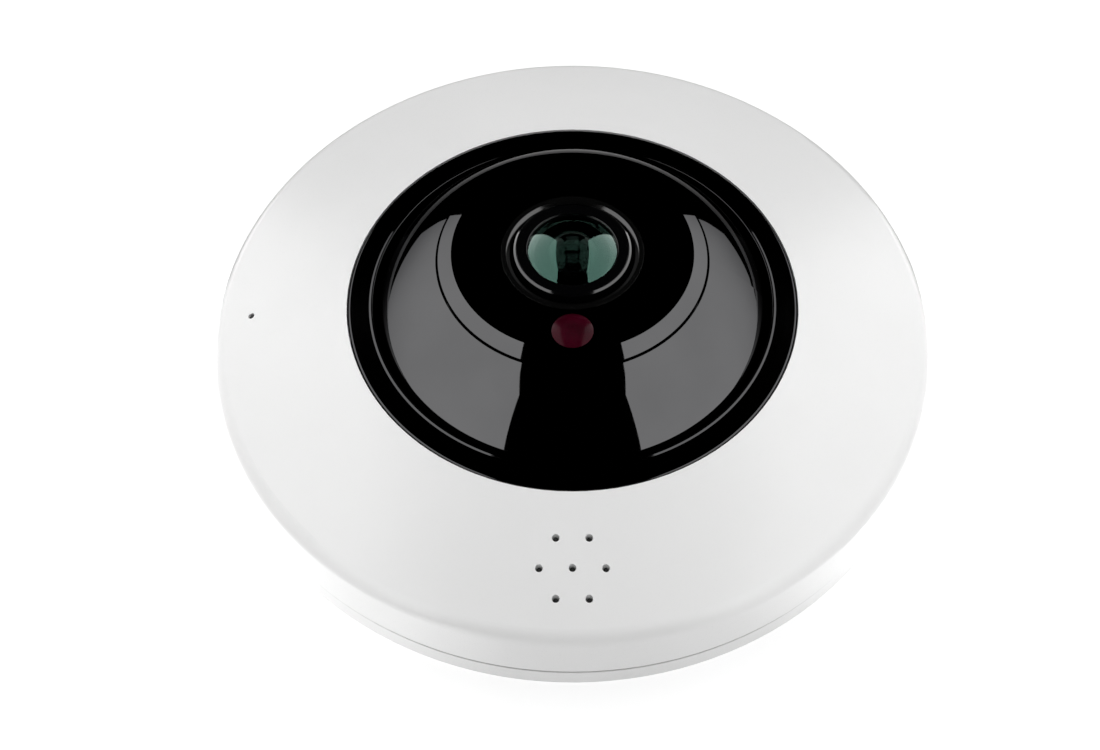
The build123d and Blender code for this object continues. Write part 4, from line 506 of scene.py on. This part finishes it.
barrel_black = turned_finish("barrel_black", (0.001, 0.001, 0.0012), 0.1, 60000.0)
neck_radius, head_radius, front_bore, second_bore, rear_bore, throat = 6.0, 11.15, 10.7, 8.0, 4.9, 3.6
tail, head_base, rim, front_seat, second_seat, rear_seat = 27.6, 36.6, 43.4, 39.6, 37.6, 28.6
barrel_outline = (
    ((throat, tail), 0.1),
    ((neck_radius, tail), 0.3),
    ((neck_radius, head_base), 0.1),
    ((head_radius, head_base), 0.4),
    ((head_radius, rim - 0.34), 0.12),
    ((front_bore + 0.02, rim), 0.02),
    ((front_bore, front_seat), 0.05),
    ((second_bore, front_seat), 0.1),
    ((second_bore, second_seat), 0.05),
    ((rear_bore, second_seat), 0.1),
    ((rear_bore, rear_seat), 0.05),
    ((throat, rear_seat), 0.1),
)
turned_ring("lens_head", barrel_outline, barrel_black, "camera_body", "lens_barrel")
clamp_outer, clamp_low, clamp_high = 10.65, 42.0, 43.2
clamp_outline = (
    ((9.61, clamp_low), 0.05),
    ((clamp_outer, clamp_low), 0.05),
    ((clamp_outer, clamp_high), 0.1),
    ((8.62, clamp_high), 0.14),
    ((8.48, clamp_high - 0.2), 0.06),
)
turned_ring("lens_clamp_ring", clamp_outline, barrel_black, "camera_body", "lens_retaining_ring")
dress(barrel_black, "lens_lock_ring")
dress(inner_black, "lens_holder")
spacer_black = turned_finish("spacer_black", (0.004, 0.004, 0.004), 0.5, 30000.0)
dress(spacer_black, "lens_spacers")
collar_black = surfaced("collar_black", (0.002, 0.002, 0.002), 0.12, grain=3000.0, relief=6e-7)
baffle_low, baffle_high = (np.array(corner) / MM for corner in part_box("lens_baffle"))
collar_bore, collar_neck, flange_top, collar_top = 11.87, 12.86, 40.4, 42.21
collar_outline = (
    ((collar_bore, baffle_low[2]), 0.1),
    ((baffle_high[0], baffle_low[2]), 0.2),
    ((baffle_high[0], flange_top), 0.1),
    ((collar_neck, flange_top), 0.02),
    ((collar_neck, 41.6), 0.1),
    ((13.02, 41.98), 0.1),
    ((13.3, 42.16), 0.1),
    ((13.49, 42.18), 0.004),
    ((13.49, collar_top), 0.01),
    ((12.57, collar_top), 0.06),
    ((collar_bore, 41.8), 0.12),
)
turned_ring("lens_collar", collar_outline, collar_black, "camera_body", "lens_baffle")
glass_marks = {"marks": 200.0, "detail": 1.0, "faintest": 0.3, "strongest": 0.8, "haze": 0.015}
coatings = {"front_lens": (0.45, 0.95, 0.78), "second_lens": (0.6, 0.8, 1.0), "rear_lens": (0.8, 0.7, 1.0)}
smoke = (0.10, 0.12, 0.11, 1.0)
for name, coating in coatings.items():
    index = 1.52 if name == "front_lens" else 1.3
    dress(coated_glass(name + "_glass", coating, IOR=index, Base_Color=smoke, **glass_marks), name)

# Lamp board: a green ring board on three screws round the lens, with six infrared lamps of clear resin, each
# with its die in a small cup, and a black light sensor under the red window.
resin = {"cloud": 800.0, "drift": 0.1, "grain": 2500.0, "relief": 2e-6}
lamp_clear = surfaced("lamp_clear", (0.80, 0.80, 0.76), 0.12, Transmission_Weight=0.6, IOR=1.5, **resin)
dress(lamp_clear, "infrared_lamps")
dress(board_green, "lamp_board")
dress(chip_black, "light_sensor")
thirds = (0, 120, 240)
screw_set("lamp_board_screws", ring_places(26.11, thirds, 33.0), 1, "camera_body", length=3.8, **board_screw)

# Dome and lens deck: black polycarbonate from a polished tool, hard-coated, with the faintest waviness, on a
# rubber gasket in the shell. The window in the deck is dark red, clear only to infrared light.
rubber_black = surfaced("rubber_black", (0.018, 0.018, 0.018), 0.75, grain=4000.0, relief=1e-5)
dress(rubber_black, "dome_gasket")
dark_mirror = {"Metallic": 1.0, "Specular_Tint": (0.4, 0.4, 0.4, 1.0)}
polish = {"cloud": 60.0, "grain": 700.0, "spread": 0.35, "relief": 1.5e-7}
dome_black = surfaced("dome_black", (0.046, 0.046, 0.047), 0.03, **polish, **dark_mirror)
dress(dome_black, "dome_cover", "lens_deck")
window_tone = {"cloud": 300.0, "drift": 0.2, "grain": 900.0, "relief": 4e-7, "Specular_IOR_Level": 0.05}
window_red = surfaced("window_red", (0.030, 0.0005, 0.005), 0.2, **window_tone)
dress(window_red, "sensor_window")

# Bezel ring: glossy black moulded ring that clamps the dome's flange in the shell. Its outer lip is rounded,
# and a fine bead runs round its opening.
bezel_gloss = {"cloud": 80.0, "grain": 2500.0, "spread": 0.2, "relief": 8e-7}
bezel_black = surfaced("bezel_black", (0.035, 0.035, 0.036), 0.06, **bezel_gloss, **dark_mirror)
bezel_low, bezel_high = (np.array(corner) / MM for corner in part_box("bezel_ring"))
opening, lip, bead_foot, bead = 38.45, 26.3, (39.22, 26.99), (38.86, 27.22)
bezel_outline = (
    ((opening, bezel_low[2]), 0.1),
    ((bezel_high[0], bezel_low[2]), 0.1),
    ((bezel_high[0], lip), 0.6),
    (bead_foot, 0.12),
    (bead, 0.15),
    ((opening, 27.1), 0.25),
)
turned_ring("bezel_lips", bezel_outline, bezel_black, "camera_body", "bezel_ring", columns=384)

# Top shell: the white moulding that shows, satin and finely textured like the housing. It sits over the
# housing's lip, held by the case screws. Its crown is part of a large sphere, pierced by the sound holes.
shell_white = surfaced("shell_white", drift=0.01, **white_moulding)
dress(shell_white, "top_shell")
crown_centre, crown_inside = -132.785, 162.8

# Wall at the back: a drawn steel power inlet, the steel cage of the card socket, and a grey moulded reset
# pin with a round tip. The pin's flange holds it behind the wall, in front of the switch that it presses.
dress(tinned_can, "power_inlet", "card_socket")
dress(chip_black, "reset_switch")
button_grey = surfaced(
    "button_grey", (0.34, 0.34, 0.35), 0.4, cloud=600.0, drift=0.1, grain=7000.0, relief=4e-6
)
flange_radius, pin_radius, pin_height, edge_break = 1.9, 1.2, 12.2, 0.08
flange_back, flange_front, pin_front, tip_rise = 66.8, 67.6, 69.2, 0.4
outward = np.array((np.cos(np.radians(72.0)), np.sin(np.radians(72.0)), 0.0))
across, upright = np.array((-outward[1], outward[0], 0.0)), np.array((0.0, 0.0, 1.0))
cap = np.radians(np.linspace(0, 90, 12))
flange_radii = (0, flange_radius - edge_break, flange_radius, flange_radius, flange_radius - edge_break)
flange_places = (flange_back, flange_back, flange_back + edge_break, flange_front - edge_break, flange_front)
pin_radii = np.concatenate([flange_radii, (pin_radius + 0.06, pin_radius), pin_radius * np.cos(cap)])[:, None]
pin_foot = (flange_front, flange_front + 0.06)
pin_reach = np.concatenate([flange_places, pin_foot, pin_front + tip_rise * np.sin(cap)])
turn = np.linspace(0, 2 * np.pi, 64, endpoint=False)
pin_grid = (
    pin_reach[:, None, None] * outward
    + (pin_radii * np.cos(turn))[..., None] * across
    + (pin_height + pin_radii * np.sin(turn))[..., None] * upright
)
reset_pin = new_piece("reset_pin", *skin(pin_grid * MM), button_grey)
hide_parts("reset_button")
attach(reset_pin, "reset_button")

# Speaker and microphone: a black paper cone and its plated magnet in a black frame, and a small tinned
# capsule in a rubber boot. Thin black foam, pressed into the shell's holes from behind, keeps dust out.
# It fills each hole almost to the surface, and this is painted shade that darkens the holes.
cone_paper = surfaced(
    "cone_paper", (0.012, 0.012, 0.012), 0.85, cloud=900.0, drift=0.3, grain=4000.0, relief=3e-5
)
dress(cone_paper, "speaker_cone")
dress(inner_black, "speaker_frame")
dress(plated_iron, "speaker_magnet")
dress(rubber_black, "speaker_gasket", "microphone_boot")
dress(tinned_can, "microphone")
hole_shade_foam = surfaced(
    "hole_shade_foam", (0.006, 0.006, 0.006), 0.95, cloud=1500.0, drift=0.5, grain=2500.0, relief=8e-5
)


def foam_pad(name, middle, reach, holes, rise=1.85, rows=90, columns=360):
    """Oval foam pad in mm: its top follows the sphere inside the crown and swells up into each hole by
    rise * (1 - (distance / width)^6); its underside follows the same sphere, a little lower."""
    turn = np.linspace(0, 2 * np.pi, columns, endpoint=False)
    out = np.linspace(0, reach, rows)[:, None]
    x, y = middle[0] + out * np.cos(turn), middle[1] + 0.93 * out * np.sin(turn)
    inside = crown_centre + np.sqrt(crown_inside**2 - x**2 - y**2)
    top, underside = inside - 0.08, inside - 0.45
    for hole_x, hole_y, width in holes:
        apart = np.hypot(x - hole_x, y - hole_y) / width
        # Painted shade: this swell fills each hole with black foam almost to the outer surface.
        top += rise * np.clip(1 - apart**6, 0, 1)
    grid = np.concatenate([np.stack([x, y, underside], axis=-1), np.stack([x, y, top], axis=-1)[::-1]])
    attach(new_piece(name, *skin(grid * MM), hole_shade_foam), "camera_body")


speaker_y, sound_circle = -57.4, 6.15
sound_holes = [(x, y + speaker_y, 0.68) for x, y, _ in ring_places(sound_circle, range(0, 360, 60), 0)]
foam_pad("speaker_foam", (0.0, speaker_y), 6.92, [(0.0, speaker_y, 0.68)] + sound_holes)
microphone_spot = ring_places(62.58, [178.5], 0)[0][:2]
foam_pad("microphone_foam", microphone_spot, 0.68, [(*microphone_spot, 0.66)], rise=2.28, rows=16, columns=48)
